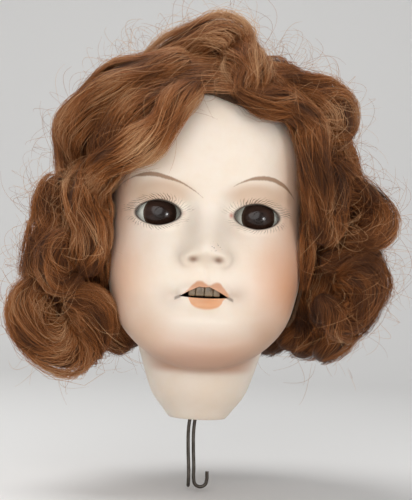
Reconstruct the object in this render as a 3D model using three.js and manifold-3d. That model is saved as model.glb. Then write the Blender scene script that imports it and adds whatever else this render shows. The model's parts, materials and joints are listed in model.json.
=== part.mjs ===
// Bisque doll head with a socket neck, sleeping eyes, a mohair wig and a wire neck hook.
// Millimetres, +Z up. The origin is the centre of the ring under the neck, and the face looks along -Y.
import * as THREE from 'three';
import { mergeVertices } from 'three/addons/utils/BufferGeometryUtils.js';
import Module from 'manifold-3d';

const wasm = await Module();
wasm.setup();

// Head sizes
const headHeight = 98;          // neck ring to the top of the skull
const faceDepth = 27;           // neck axis to the front of the plain face
const headHalfWidth = 28;       // neck axis to the cheeks
const skullDepth = 34;          // neck axis to the back of the skull
const neckRadius = 16.5;
const neckHeight = 20;          // ring to the jaw
const bisque = 2.8;             // wall of the casting
const gap = 0.3;                // between a piece and its neighbour
const layerGap = 0.9;           // between a faceted layer and the surface that it lies on
const overrun = 10;             // how far a cutter runs past what it cuts

// Face sizes, measured from the eye line
const eyeHeight = 57;
const eyeSpacing = 27;
const eyeOpeningWidth = 12.3;
const eyeOpeningHeight = 7.3;
const noseTipDrop = 9.4;
const noseRise = 5.2;
const noseWidth = 14.3;
const mouthDrop = 21.2;
const mouthWidth = 13.2;
const mouthOpening = 3.1;
const lipRise = 1.35;
const chinDrop = 36;

// Crown opening and what closes it
const crownDrop = 15;           // top of the skull down to the cut, on the neck axis
const crownTilt = THREE.MathUtils.degToRad(18.3);
const pateThickness = 1.8;
const capThickness = 0.9;
const capSetback = 1.6;         // hairline of the cap behind the hairline of the hair
const hairThickness = 4.6;      // hair that lies on the cap, under the locks
const napeHeight = 27;          // lower edge of the cap

// How far the wig stands out from the head, at the sides, behind and above
const wigSideReach = 27;
const wigBackReach = 16;
const wigTopReach = 17;
const wigHalfWidth = headHalfWidth + wigSideReach;
const wigDepth = skullDepth + wigBackReach;
const wigHeight = headHeight + wigTopReach;
const lockRadius = 8;
const lockGap = 0.45;           // between one lock and the next
const backLocks = 8;
const crownLocks = 3;

// Sleeping eyes
const eyeRadius = 7.8;
const eyeSetback = 12.2;        // neck axis to the rocking axis, towards the face
const glassWall = 1.6;
const irisRadius = 4.3;
const pupilRadius = 1.6;
const inlayDepth = 0.45;        // thickness of iris, pupil and lid on the bulb
const lidSpan = THREE.MathUtils.degToRad(62);
const plugRadius = 4.4;
const plugReach = 4.4;          // how far the plaster stands out behind the bulb
const eyeWireRadius = 0.8;
const eyeWireSetback = 2.4;     // behind the bulbs
const stemLength = 28;
const stemLean = 5;             // how far the stem leans towards the face
const weightRadius = 4.6;
const weightHeight = 10;
const seatInset = 4.8;          // seat begins this far outside the centre of its bulb
const seatRadius = 8;

// Teeth and cork
const teeth = 4;
const toothWidth = 2.15;
const toothHeight = 3.7;
const toothThickness = 0.9;
const toothSetback = 2.2;       // lip front to tooth front
const plasterHeight = 3.2;
const corkRadius = 2.8;

// Neck button, pin and hook
const neckHole = 6.2;           // radius of the hole in the ring
const buttonRadius = 11;
const buttonTop = 10.4;
const buttonBoss = 5.8;
const slotLength = 8;
const slotWidth = 2.2;
const pinRadius = 0.9;
const pinLength = 12;
const wireRadius = 0.5;
const legSpacing = 1.5;
const hookDrop = 18;            // ring to the start of the curls
const hookCurl = 1.85;          // radius of a curl's centreline
const hookTip = 2.6;            // straight end of a curl
const hookBow = 1.5;            // how far the legs bow aside under the ring

// Facets
const headColumns = 44;
const layerColumns = 24;
const eyeSides = 14;
const eyeRings = 8;
const lockSides = 7;
const lockSteps = 10;

const group = new THREE.Group();

// Materials, one for each piece
const colours = {
  bisque: ['#efe3d6', 0.55, 0], card: ['#a98d68', 0.95, 0], cloth: ['#c9b899', 0.95, 0],
  hair: ['#8a5530', 0.6, 0], glass: ['#c3c7bd', 0.08, 0], iris: ['#3a2418', 0.1, 0],
  pupil: ['#0b0806', 0.08, 0], wax: ['#d9bfae', 0.5, 0], plaster: ['#dcd8cc', 0.95, 0],
  steel: ['#57524c', 0.45, 0.9], lead: ['#6d6f72', 0.7, 0.8], porcelain: ['#cfc9bd', 0.25, 0],
  cork: ['#a8794a', 0.95, 0], wood: ['#b98d58', 0.7, 0],
};

function add(name, solid, finish) {
  const [color, roughness, metalness] = colours[finish];
  const material = new THREE.MeshStandardMaterial({ color, roughness, metalness });
  const mesh = new THREE.Mesh(geometryOf(solid), material);
  mesh.name = name;
  group.add(mesh);
}

// A closed geometry as a solid, and a solid as a geometry
function solidOf(geometry) {
  geometry.deleteAttribute('normal');
  geometry.deleteAttribute('uv');
  const merged = mergeVertices(geometry);
  return new wasm.Manifold(new wasm.Mesh({
    numProp: 3,
    vertProperties: new Float32Array(merged.attributes.position.array),
    triVerts: new Uint32Array(merged.index.array),
  }));
}

function geometryOf(solid) {
  const mesh = solid.getMesh();
  const geometry = new THREE.BufferGeometry();
  geometry.setAttribute('position', new THREE.BufferAttribute(mesh.vertProperties, 3));
  geometry.setIndex(new THREE.BufferAttribute(mesh.triVerts, 1));
  geometry.computeVertexNormals();
  return geometry;
}

function largestPiece(solid) {
  const pieces = solid.decompose();
  return pieces.reduce((best, piece) => (piece.volume() > best.volume() ? piece : best));
}

const smooth = (from, to, value) => THREE.MathUtils.smoothstep(value, from, to);
const bell = (value, width) => Math.exp(-((value / width) ** 2));

// Profiles of the head from the ring to the crown: neck as shares of its radius and height,
// then front, side and back as shares of their own depth and of the head's height.
const neckShares = [[0, -0.06], [0.43, -0.025], [0.618, 0.13], [0.8, 0.33], [0.915, 0.56]];
const frontShares = [
  [0.585, 0.139], [0.685, 0.149], [0.837, 0.155], [0.948, 0.18], [0.996, 0.222], [0.941, 0.282],
  [0.967, 0.347], [0.963, 0.439], [0.941, 0.582], [1.007, 0.673], [1.037, 0.776], [0.985, 0.867],
  [0.778, 0.945], [0.407, 0.99], [0, 1],
];
const sideShares = [
  [0.619, 0.186], [0.652, 0.21], [0.726, 0.237], [0.822, 0.269], [0.896, 0.306], [0.948, 0.353],
  [0.981, 0.404], [0.993, 0.461], [0.97, 0.571], [0.989, 0.673], [1.011, 0.776], [0.933, 0.872],
  [0.726, 0.947], [0.407, 0.99], [0, 1],
];
const backShares = [
  [0.476, 0.173], [0.494, 0.214], [0.547, 0.265], [0.662, 0.316], [0.779, 0.378], [0.865, 0.435],
  [0.918, 0.49], [0.959, 0.551], [0.994, 0.643], [1, 0.714], [0.959, 0.796], [0.841, 0.883],
  [0.606, 0.955], [0.324, 0.99], [0, 1],
];

function profile(depth, shares) {
  const neck = neckShares.map(([r, z]) => new THREE.Vector2(r * neckRadius, z * neckHeight));
  const head = shares.map(([r, z]) => new THREE.Vector2(r * depth, z * headHeight));
  return new THREE.SplineCurve([...neck, ...head]);
}

const front = profile(faceDepth, frontShares);
const side = profile(headHalfWidth, sideShares);
const back = profile(skullDepth, backShares);
const landmarks = neckShares.length + frontShares.length - 1;

// Rows between one landmark and the next: close together over the face
const headRows = [1, 1, 1, 1, 1, 1, 0, 1, 2, 3, 5, 7, 8, 3, 2, 1, 1, 1, 1];
const layerRows = [1, 1, 0, 1, 1, 0, 1, 0, 1, 0, 1, 1, 1, 1, 1, 1, 1, 1, 1];

function rowPlaces(rows) {
  const places = [0];
  rows.forEach((count, span) => {
    for (let row = 1; row <= count; row += 1) places.push((span + row / count) / landmarks);
  });
  return places;
}

// Outline of the head at one level: round at the neck, fuller between the jaw and the brow, by landmarks
const roundness = 2;
const fullness = 2.45;
const jawMarks = [5, 9];
const browMarks = [15, 18];

function plainPoint(angle, place, offset) {
  if (place === 0 || place === 1) {
    return new THREE.Vector3(0, 0, front.getPoint(place).y + (2 * place - 1) * offset);
  }
  const facing = Math.cos(angle);
  const end = facing > 0 ? front : back;
  const alongEnd = facing * facing;
  const blend = (a, b) => a * alongEnd + b * (1 - alongEnd);
  const at = [end, side].map((curve) => {
    const point = curve.getPoint(place);
    const run = curve.getTangent(place);
    return { r: point.x + run.y * offset, z: point.y - run.x * offset };
  });
  const level = place * landmarks;
  const full = smooth(...jawMarks, level) * (1 - smooth(...browMarks, level));
  const power = roundness + (fullness - roundness) * full;
  const sum = (Math.abs(facing) / at[0].r) ** power + (Math.abs(Math.sin(angle)) / at[1].r) ** power;
  const radius = sum ** (-1 / power);
  return new THREE.Vector3(radius * Math.sin(angle), -radius * facing, blend(at[0].z, at[1].z));
}

// Modelled features: shares of the eye spacing from the eye line, as place, half width, half height, rise
const featureShares = {
  ala: [0.195, -0.42, 0.085, 0.085, 0.085],
  nostril: [0.12, -0.465, 0.05, 0.028, -0.06],
  philtrum: [0, -0.605, 0.045, 0.09, -0.018],
  socket: [0.5, 0.03, 0.32, 0.24, -0.055],
  innerSocket: [0.24, 0.01, 0.11, 0.16, -0.08],
  brow: [0.5, 0.4, 0.32, 0.1, 0.022],
  cheek: [0.62, -0.67, 0.3, 0.32, 0.045],
  mouthCorner: [0.3, -0.83, 0.05, 0.045, -0.03],
  mouthSide: [0.36, -0.88, 0.1, 0.14, -0.022],
  chinCrease: [0, -1.06, 0.24, 0.06, -0.02],
};

function featureRise(name, x, z) {
  const [px, pz, w, h, rise] = featureShares[name].map((share) => share * eyeSpacing);
  const level = bell(z - eyeHeight - pz, h);
  const places = px > 0 ? [px, -px] : [0];
  return places.reduce((sum, place) => sum + rise * level * bell(x - place, w), 0);
}

function noseHeight(x, z) {
  const above = z - (eyeHeight - noseTipDrop);
  const run = above > 0 ? 0.82 * noseTipDrop : 0.36 * noseTipDrop;
  const level = Math.exp(-(Math.abs(above / run) ** (above > 0 ? 1.7 : 2.8)));
  const halfWidth = noseWidth * (0.27 + 0.03 * smooth(noseTipDrop, 0, above));
  return noseRise * level * Math.exp(-(Math.abs(x / halfWidth) ** 2.2));
}

function lipHeight(x, z) {
  const half = mouthWidth / 2;
  const level = z - (eyeHeight - mouthDrop) + 0.42 * mouthOpening;
  const taper = Math.sqrt(Math.max(0, 1 - (x / (half * 1.12)) ** 2));
  const bow = 0.85 * mouthOpening * (1 - 0.5 * (Math.abs(x) / half) ** 1.5) - 0.1 * mouthOpening * bell(x, half / 4);
  const upper = bell(level - bow, 0.5 * mouthOpening) * taper;
  const lower = bell(level + 0.72 * mouthOpening, 0.52 * mouthOpening) * bell(x, 0.62 * half);
  return lipRise * Math.max(upper, lower);
}

function lidHeight(x, z) {
  const dx = (Math.abs(x) - eyeSpacing / 2) / (0.5 * eyeOpeningWidth);
  const dz = (z - eyeHeight) / (0.5 * eyeOpeningHeight);
  return 0.07 * eyeOpeningHeight * bell(Math.hypot(dx, dz) - 1.12, 0.22);
}

function chinHeight(x, z) {
  const level = z - (eyeHeight - chinDrop);
  return 0.03 * chinDrop * bell(x, 0.2 * chinDrop) * bell(level, 0.12 * chinDrop);
}

// Ears stand on the sides of the head, a little behind the neck axis
const earHeight = 13;
const earRise = 2;

function earShape(y, z) {
  const dy = (y - 0.25 * earHeight) / (0.3 * earHeight);
  const dz = (z - eyeHeight + 0.35 * earHeight) / (0.52 * earHeight);
  return earRise * Math.exp(-(Math.hypot(dy, dz) ** 4));
}

function headPoint(angle, place, offset) {
  const point = plainPoint(angle, place, offset);
  const facing = smooth(0.05, 0.45, Math.cos(angle));
  const { x, y, z } = point;
  const names = Object.keys(featureShares);
  const relief = names.reduce((sum, name) => sum + featureRise(name, x, z), 0)
    + noseHeight(x, z) + lipHeight(x, z) + lidHeight(x, z) + chinHeight(x, z);
  point.y -= relief * facing * smooth(neckHeight / 2, neckHeight, z);
  point.x += Math.sign(x) * earShape(y, z) * smooth(0.7, 0.9, Math.abs(Math.sin(angle)));
  return point;
}

// A sphere drawn over the head's profiles. evenness 1 spreads its columns evenly, less crowds them at the face.
function headLoft(pointAt, columns, rows, evenness, offset) {
  const places = rowPlaces(rows);
  const geometry = new THREE.SphereGeometry(1, columns, places.length - 1);
  const { position, uv } = geometry.attributes;
  for (let i = 0; i < position.count; i += 1) {
    const turn = 2 * uv.getX(i) - 1;
    const row = Math.round(uv.getY(i) * (places.length - 1));
    const angle = Math.PI * (evenness * turn + (1 - evenness) * turn ** 3);
    const column = Math.round(uv.getX(i) * columns) % columns === 0 ? -Math.PI : angle;
    const point = pointAt(column, places[row], offset);
    position.setXYZ(i, point.x, point.y, point.z);
  }
  return solidOf(geometry);
}

const faceEvenness = 0.4;
const castingAt = (offset) => headLoft(headPoint, headColumns, headRows, faceEvenness, offset);
const layerAt = (offset) => headLoft(plainPoint, layerColumns, layerRows, 1, offset);

// An outline in X and Z, drawn through the head from one depth to another
function slab(shape, fromY, toY, segments = 6) {
  const geometry = new THREE.ExtrudeGeometry(shape, {
    depth: toY - fromY, bevelEnabled: false, curveSegments: segments,
  });
  geometry.rotateX(Math.PI / 2);
  geometry.translate(0, toY, 0);
  return solidOf(geometry);
}

function box(width, depth, height, x, y, z) {
  const geometry = new THREE.BoxGeometry(width, depth, height);
  geometry.translate(x, y, z);
  return solidOf(geometry);
}

function rod(radius, length, sides, axis, x, y, z) {
  const geometry = new THREE.CylinderGeometry(radius, radius, length, sides);
  if (axis === 'z') geometry.rotateX(Math.PI / 2);
  if (axis === 'x') geometry.rotateZ(Math.PI / 2);
  geometry.translate(x, y, z);
  return solidOf(geometry);
}

// Everything above the slanted cut of the crown, raised by a shift
const reach = 2 * (headHeight + wigHalfWidth);
function aboveCrown(shift) {
  const geometry = new THREE.BoxGeometry(reach, reach, reach);
  geometry.translate(0, 0, reach / 2);
  geometry.rotateX(-crownTilt);
  geometry.translate(0, 0, headHeight - crownDrop + shift);
  return solidOf(geometry);
}

function below(height) {
  return box(reach, reach, reach, 0, 0, height - reach / 2);
}

// Almond of an eye opening
function eyeShape(x) {
  const w = eyeOpeningWidth / 2;
  const h = eyeOpeningHeight / 2;
  const z = eyeHeight;
  const shape = new THREE.Shape();
  shape.moveTo(x - w, z);
  shape.bezierCurveTo(x - 0.72 * w, z + 1.25 * h, x + 0.72 * w, z + 1.25 * h, x + w, z);
  shape.bezierCurveTo(x + 0.72 * w, z - 1.25 * h, x - 0.72 * w, z - 1.25 * h, x - w, z);
  return shape;
}

// Opening between the lips
function mouthShape() {
  const w = mouthWidth / 2;
  const h = mouthOpening / 2;
  const z = eyeHeight - mouthDrop;
  const shape = new THREE.Shape();
  shape.moveTo(-w, z - 0.8 * h);
  shape.quadraticCurveTo(-0.62 * w, z + 1.1 * h, -0.2 * w, z + h);
  shape.quadraticCurveTo(0, z + 0.8 * h, 0.2 * w, z + h);
  shape.quadraticCurveTo(0.62 * w, z + 1.1 * h, w, z - 0.8 * h);
  shape.quadraticCurveTo(0.5 * w, z - h, 0, z - h);
  shape.quadraticCurveTo(-0.5 * w, z - h, -w, z - 0.8 * h);
  return shape;
}

// Bulbs: spheres whose poles lie on the rocking axis
const eyeCentres = { left: -eyeSpacing / 2, right: eyeSpacing / 2 };

function bulb(radius, x) {
  const geometry = new THREE.SphereGeometry(radius, eyeSides, eyeRings);
  geometry.rotateZ(Math.PI / 2);
  geometry.translate(x, -eyeSetback, eyeHeight);
  return solidOf(geometry);
}

// Wedge about the rocking axis, between two angles that rise from the front
function wedge(from, to, x) {
  const far = 2 * eyeRadius;
  const shape = new THREE.Shape();
  shape.moveTo(0, 0);
  const steps = 4;
  for (let i = 0; i <= steps; i += 1) {
    const angle = from + ((to - from) * i) / steps;
    shape.lineTo(far * Math.cos(angle), far * Math.sin(angle));
  }
  const geometry = new THREE.ExtrudeGeometry(shape, { depth: 2 * far, bevelEnabled: false });
  geometry.applyMatrix4(new THREE.Matrix4().set(
    0, 0, -1, x + far,
    -1, 0, 0, -eyeSetback,
    0, 1, 0, eyeHeight,
    0, 0, 0, 1,
  ));
  return solidOf(geometry);
}

const cavity = (clearance) => layerAt(-bisque - clearance);
const pocket = eyeRadius + gap + 0.5 * gap;
const lipFront = -castingAt(0).intersect(box(
  gap, reach, gap, 0, 0, eyeHeight - mouthDrop - mouthOpening,
)).boundingBox().min[1];
const mouthLevel = eyeHeight - mouthDrop;
const toothFront = -(lipFront - toothSetback);

// Recess behind the lips that takes the teeth
function toothRecess(clearance) {
  const width = teeth * toothWidth + 6 * gap - 2 * clearance;
  return box(
    width, overrun, 2 * toothHeight - 2 * clearance, 0,
    toothFront - gap + clearance + overrun / 2, mouthLevel + 0.75 * toothHeight,
  );
}

// The casting: plain wall inside, pierced at the eyes, the mouth, the crown and under the neck
function makeHead() {
  let head = castingAt(0).subtract(cavity(0)).subtract(aboveCrown(0)).subtract(below(0));
  for (const x of Object.values(eyeCentres)) {
    head = head.subtract(slab(eyeShape(x), -faceDepth - overrun, -eyeSetback));
    head = head.subtract(bulb(pocket, x));
  }
  head = head.subtract(slab(mouthShape(), -faceDepth - overrun, -faceDepth / 2));
  head = head.subtract(toothRecess(0));
  return largestPiece(head.subtract(rod(neckHole, 3 * bisque, 24, 'z', 0, 0, 0)));
}

add('bisque_head', makeHead(), 'bisque');

const pate = layerAt(0).subtract(layerAt(-pateThickness)).intersect(aboveCrown(gap));
add('pate', largestPiece(pate), 'card');

// Opening of the wig round the face, as shares of the half width and the height of the head
const hairlineShares = [
  [-1.06, -0.2], [-1.06, 0.6], [-0.95, 0.68], [-0.62, 0.735], [-0.48, 0.785], [-0.3, 0.855], [-0.2, 0.9],
  [0, 0.895], [0.25, 0.86], [0.46, 0.835], [0.79, 0.84], [0.86, 0.81], [0.93, 0.74], [1.06, 0.6], [1.06, -0.2],
];

function faceWindow(margin) {
  const points = hairlineShares.map(([x, z]) => new THREE.Vector2(
    x * headHalfWidth - Math.sign(x) * margin, z * headHeight - margin,
  ));
  return slab(new THREE.Shape(points), -faceDepth - 4 * overrun, -0.08 * faceDepth - margin);
}

const clearOfHead = layerAt(2 * layerGap);

// Room for one ear in the layers that cover it
function earRoom(sign) {
  const geometry = new THREE.SphereGeometry(1, 10, 8);
  geometry.scale(2 * earRise + layerGap, 0.62 * earHeight, earHeight);
  geometry.translate(sign * (headHalfWidth - earRise), 0.25 * earHeight, eyeHeight - 0.35 * earHeight);
  return solidOf(geometry);
}

function wigLayer(inner, outer, margin) {
  return layerAt(outer).subtract(layerAt(inner)).subtract(earRoom(1)).subtract(earRoom(-1))
    .subtract(faceWindow(margin)).subtract(below(napeHeight));
}

const capInside = layerGap;
const hairInside = capInside + capThickness + gap;
const hairOutside = hairInside + hairThickness;
add('wig_cap', largestPiece(wigLayer(capInside, capInside + capThickness, -capSetback)), 'cloth');
add('hair_base', largestPiece(wigLayer(hairInside, hairOutside, gap)), 'hair');

// Locks of the wig. A route is a list of shares of the wig's half width, depth and height,
// and width and depth are shares of the lock radius.
const lockShares = [
  { name: 'crest_wave', width: 0.85, depth: 0.9, route: [
    [-0.373, -0.18, 0.837], [-0.222, -0.26, 0.881], [-0.084, -0.32, 0.913], [0.036, -0.36, 0.918],
    [0.118, -0.38, 0.887], [0.151, -0.48, 0.842], [0.16, -0.58, 0.8], [0.145, -0.65, 0.765]] },
  { name: 'wave_left', width: 0.9, depth: 0.9, route: [
    [-0.111, -0.46, 0.85], [-0.26, -0.45, 0.833], [-0.429, -0.36, 0.804], [-0.58, -0.26, 0.762],
    [-0.678, -0.2, 0.698], [-0.705, -0.16, 0.636], [-0.72, -0.14, 0.577]] },
  { name: 'wave_right', width: 0.8, depth: 0.9, route: [
    [0.224, -0.34, 0.839], [0.36, -0.32, 0.817], [0.509, -0.26, 0.797], [0.618, -0.22, 0.765],
    [0.64, -0.2, 0.718], [0.564, -0.22, 0.683]] },
  { name: 'temple_roll_right', width: 0.6, depth: 0.55, route: [
    [0.111, -0.63, 0.783], [0.233, -0.63, 0.755], [0.375, -0.56, 0.75], [0.473, -0.51, 0.713],
    [0.505, -0.5, 0.644], [0.535, -0.46, 0.55], [0.564, -0.38, 0.453]] },
  { name: 'temple_roll_left', width: 0.72, depth: 0.55, route: [
    [-0.073, -0.59, 0.797], [-0.16, -0.65, 0.748], [-0.251, -0.65, 0.687], [-0.364, -0.61, 0.637],
    [-0.495, -0.48, 0.607], [-0.573, -0.34, 0.555], [-0.6, -0.26, 0.491]] },
  { name: 'side_lock_right', width: 0.68, depth: 0.75, route: [
    [0.629, -0.14, 0.663], [0.713, -0.12, 0.597], [0.824, -0.14, 0.55], [0.873, -0.18, 0.5],
    [0.8, -0.22, 0.457], [0.695, -0.24, 0.463]] },
  { name: 'mid_lock_right', width: 0.62, depth: 0.7, route: [
    [0.589, -0.3, 0.683], [0.553, -0.32, 0.623], [0.619, -0.34, 0.561], [0.605, -0.34, 0.497],
    [0.571, -0.34, 0.439]] },
  { name: 'lower_curl_right', width: 0.7, depth: 0.85, route: [
    [0.584, -0.26, 0.401], [0.707, -0.26, 0.395], [0.804, -0.26, 0.344], [0.77, -0.26, 0.28],
    [0.657, -0.28, 0.268], [0.587, -0.32, 0.319]] },
  { name: 'outer_curl_right', width: 0.5, depth: 0.7, route: [
    [0.782, -0.08, 0.426], [0.86, -0.06, 0.4], [0.88, -0.06, 0.348], [0.833, -0.06, 0.291]] },
  { name: 'side_lock_left', width: 0.78, depth: 0.8, route: [
    [-0.757, -0.06, 0.583], [-0.809, -0.08, 0.521], [-0.789, -0.1, 0.456], [-0.85, -0.12, 0.384],
    [-0.891, -0.14, 0.314]] },
  { name: 'mid_lock_left', width: 0.62, depth: 0.7, route: [
    [-0.587, -0.34, 0.624], [-0.64, -0.34, 0.565], [-0.641, -0.36, 0.506], [-0.574, -0.36, 0.446],
    [-0.579, -0.34, 0.393]] },
  { name: 'spiral_curl_left', width: 0.55, depth: 0.7, route: [
    [-0.584, -0.28, 0.408], [-0.685, -0.3, 0.42], [-0.748, -0.32, 0.374], [-0.702, -0.32, 0.323],
    [-0.604, -0.3, 0.335]] },
  { name: 'lower_curl_left', width: 0.88, depth: 0.95, route: [
    [-0.8, -0.14, 0.335], [-0.88, -0.16, 0.265], [-0.825, -0.2, 0.191], [-0.673, -0.22, 0.165],
    [-0.556, -0.24, 0.2], [-0.582, -0.28, 0.265], [-0.7, -0.3, 0.278]] },
  { name: 'cheek_lock_left', width: 0.66, depth: 0.75, route: [
    [-0.591, -0.04, 0.49], [-0.582, 0.02, 0.388], [-0.553, 0.1, 0.279], [-0.462, 0.18, 0.2],
    [-0.382, 0.24, 0.156]] },
  { name: 'cheek_lock_right', width: 0.66, depth: 0.75, route: [
    [0.555, -0.06, 0.501], [0.567, 0.02, 0.403], [0.567, 0.12, 0.308], [0.524, 0.2, 0.235],
    [0.445, 0.26, 0.18]] },
];

// Locks over the crown behind the crest, and waved locks that fall down the sides and the back.
// Crown: depth and height. Back: distance from the axis, height, and turn about the axis.
const crownRouteShares = [[-0.12, 0.905], [0.16, 0.905], [0.44, 0.87], [0.66, 0.79]];
const crownSpreadShare = 0.34;
const crownSagShare = 0.035;
for (let i = 0; i < crownLocks; i += 1) {
  const spread = (2 * i) / (crownLocks - 1) - 1;
  lockShares.push({ name: `crown_lock_${i + 1}`, width: 1.2, depth: 0.75, route: crownRouteShares.map(
    ([y, z]) => [spread * crownSpreadShare, y, z - crownSagShare * Math.abs(spread)],
  ) });
}
const backRouteShares = [
  [0.4, 0.84, 0], [0.58, 0.76, 0.05], [0.67, 0.63, -0.03], [0.7, 0.5, 0.05], [0.72, 0.38, -0.04],
  [0.68, 0.28, 0.04], [0.71, 0.21, 0.02], [0.62, 0.16, 0],
];
const backLeanShare = 0.16;
const backFrom = 0.53 * Math.PI;
for (let i = 0; i < backLocks; i += 1) {
  const turn = backFrom + (2 * (Math.PI - backFrom) * i) / (backLocks - 1);
  lockShares.push({ name: `back_lock_${i + 1}`, width: 1.35, depth: 0.95, route: backRouteShares.map(
    ([r, z, sway]) => [r * Math.sin(turn + sway), -(r + backLeanShare) * Math.cos(turn + sway), z],
  ) });
}

// A lock is a sphere drawn along its route, with blunt ends and an oval section that faces the head
function lockSolid({ width, depth, route }, swell) {
  const curve = new THREE.CatmullRomCurve3(route.map(([x, y, z]) => new THREE.Vector3(
    x * wigHalfWidth, y * wigDepth, z * wigHeight,
  )));
  const geometry = new THREE.SphereGeometry(1, lockSides, lockSteps);
  const { position, uv } = geometry.attributes;
  for (let i = 0; i < position.count; i += 1) {
    const place = 1 - uv.getY(i);
    const along = (1 - Math.cos(Math.PI * place)) / 2;
    const centre = curve.getPoint(along);
    const run = curve.getTangent(along);
    const out = new THREE.Vector3(centre.x, centre.y, centre.z - eyeHeight);
    out.addScaledVector(run, -out.dot(run)).normalize();
    const across = new THREE.Vector3().crossVectors(run, out);
    const blunt = Math.sin(Math.PI * place) ** 0.8;
    const turn = 2 * Math.PI * (Math.round(uv.getX(i) * lockSides) % lockSides) / lockSides;
    centre.addScaledVector(across, (width * lockRadius + swell) * blunt * Math.cos(turn));
    centre.addScaledVector(out, (depth * lockRadius + swell) * blunt * Math.sin(turn));
    centre.addScaledVector(run, swell * Math.sign(place - 0.5) * (1 - blunt));
    position.setXYZ(i, centre.x, centre.y, centre.z);
  }
  return solidOf(geometry);
}

const layerRoom = layerAt(hairOutside + gap).subtract(faceWindow(2 * gap)).subtract(below(napeHeight));
let taken = clearOfHead.add(earRoom(1)).add(earRoom(-1)).add(layerRoom);
for (const lock of lockShares) {
  const whole = lockSolid(lock, 0);
  add(lock.name, largestPiece(whole.subtract(taken)), 'hair');
  taken = taken.add(whole).add(lockSolid(lock, lockGap));
}

// Sleeping eyes
const inlayInner = eyeRadius - inlayDepth;
const inlayFloor = inlayInner - gap;
const backOfBulb = -eyeSetback + eyeRadius;
const wireY = backOfBulb + eyeWireSetback;
const lidFrom = Math.asin(irisRadius / eyeRadius) + (2 * gap) / eyeRadius;
const lidTo = lidFrom + lidSpan;

function frontRod(radius, x) {
  return rod(radius, 2 * eyeRadius, 14, 'y', x, -eyeSetback - eyeRadius, eyeHeight);
}

for (const [name, x] of Object.entries(eyeCentres)) {
  const sign = Math.sign(x);
  const skin = bulb(2 * eyeRadius, x).subtract(bulb(inlayFloor, x));
  const lidRecess = skin.intersect(wedge(lidFrom - gap / eyeRadius, lidTo + gap / eyeRadius, x));
  const irisRecess = skin.intersect(frontRod(irisRadius + gap, x));
  const bore = rod(plugRadius + gap, 2 * eyeRadius, 14, 'y', x, -eyeSetback + eyeRadius, eyeHeight);
  const hollow = bulb(eyeRadius - glassWall, x).add(bore);
  add(`${name}_eye`, largestPiece(bulb(eyeRadius, x).subtract(lidRecess).subtract(irisRecess).subtract(hollow)),
    'glass');

  const inlay = bulb(eyeRadius, x).subtract(bulb(inlayInner, x));
  add(`${name}_iris`, largestPiece(inlay.intersect(frontRod(irisRadius, x))
    .subtract(frontRod(pupilRadius + gap, x))), 'iris');
  add(`${name}_pupil`, largestPiece(inlay.intersect(frontRod(pupilRadius, x))), 'pupil');
  add(`${name}_eyelid`, largestPiece(inlay.intersect(wedge(lidFrom, lidTo, x))), 'wax');

  const plug = rod(plugRadius, eyeRadius + plugReach, 14, 'y', x,
    -eyeSetback + (eyeRadius + plugReach) / 2, eyeHeight);
  const wireHole = rod(eyeWireRadius + gap, 2 * (eyeSpacing / 2 + eyeRadius), 8, 'x', 0, wireY, eyeHeight);
  const fill = bulb(eyeRadius - glassWall - gap, x).add(plug).subtract(wireHole);
  add(`${name}_eye_plaster`, largestPiece(fill), 'plaster');

  const seat = new THREE.SphereGeometry(seatRadius, eyeSides, eyeRings);
  seat.translate(x + sign * (seatInset + 0.5 * seatRadius), -eyeSetback, eyeHeight);
  const outside = box(reach, reach, reach, x + sign * (seatInset + reach / 2), 0, eyeHeight);
  add(`${name}_eye_seat`, largestPiece(solidOf(seat).intersect(outside).intersect(cavity(gap))
    .subtract(bulb(eyeRadius + gap, x))), 'plaster');
}

// Crossbar behind the bulbs, with a stem that carries the weight
const stemCurve = new THREE.LineCurve3(
  new THREE.Vector3(0, wireY, eyeHeight),
  new THREE.Vector3(0, wireY - stemLean, eyeHeight - stemLength),
);

function wire(curve, radius, steps, sides) {
  const section = new THREE.Shape();
  section.absarc(0, 0, radius, 0, 2 * Math.PI);
  const geometry = new THREE.ExtrudeGeometry(section, {
    steps, extrudePath: curve, curveSegments: sides, bevelEnabled: false,
  });
  return solidOf(geometry);
}

const crossbarLength = eyeSpacing + plugRadius;
const stem = wire(stemCurve, eyeWireRadius, 1, 8);
add('eye_wire', rod(eyeWireRadius, crossbarLength, 8, 'x', 0, wireY, eyeHeight).add(stem), 'steel');

// The weight is a turned lead drop on the end of the stem
const weightShares = [[0, 0], [0.7, 0.04], [1, 0.3], [1, 0.6], [0.6, 0.88], [0.3, 1], [0, 1]];
const weightLathe = new THREE.LatheGeometry(weightShares.map(([r, z]) => new THREE.Vector2(
  r * weightRadius, (z - 1) * weightHeight,
)), 16);
weightLathe.rotateX(Math.PI / 2);
const weightTop = stemCurve.v2.clone().lerp(stemCurve.v1, (0.8 * weightHeight) / stemLength);
weightLathe.translate(weightTop.x, weightTop.y, weightTop.z);
const weight = solidOf(weightLathe).subtract(wire(new THREE.LineCurve3(
  stemCurve.v1, stemCurve.v2.clone().lerp(stemCurve.v1, -gap / stemLength),
), eyeWireRadius + gap, 1, 8));
add('lead_weight', largestPiece(weight), 'lead');

// Cork behind the chin, which stops the weight
const weightMiddle = weightTop.z - 0.6 * weightHeight;
const corkEnd = weightTop.y - weightRadius - gap;
const cork = rod(corkRadius, reach / 2, 12, 'y', 0, corkEnd - reach / 4, weightMiddle);
add('chin_cork', largestPiece(cork.intersect(cavity(gap))), 'cork');

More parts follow.
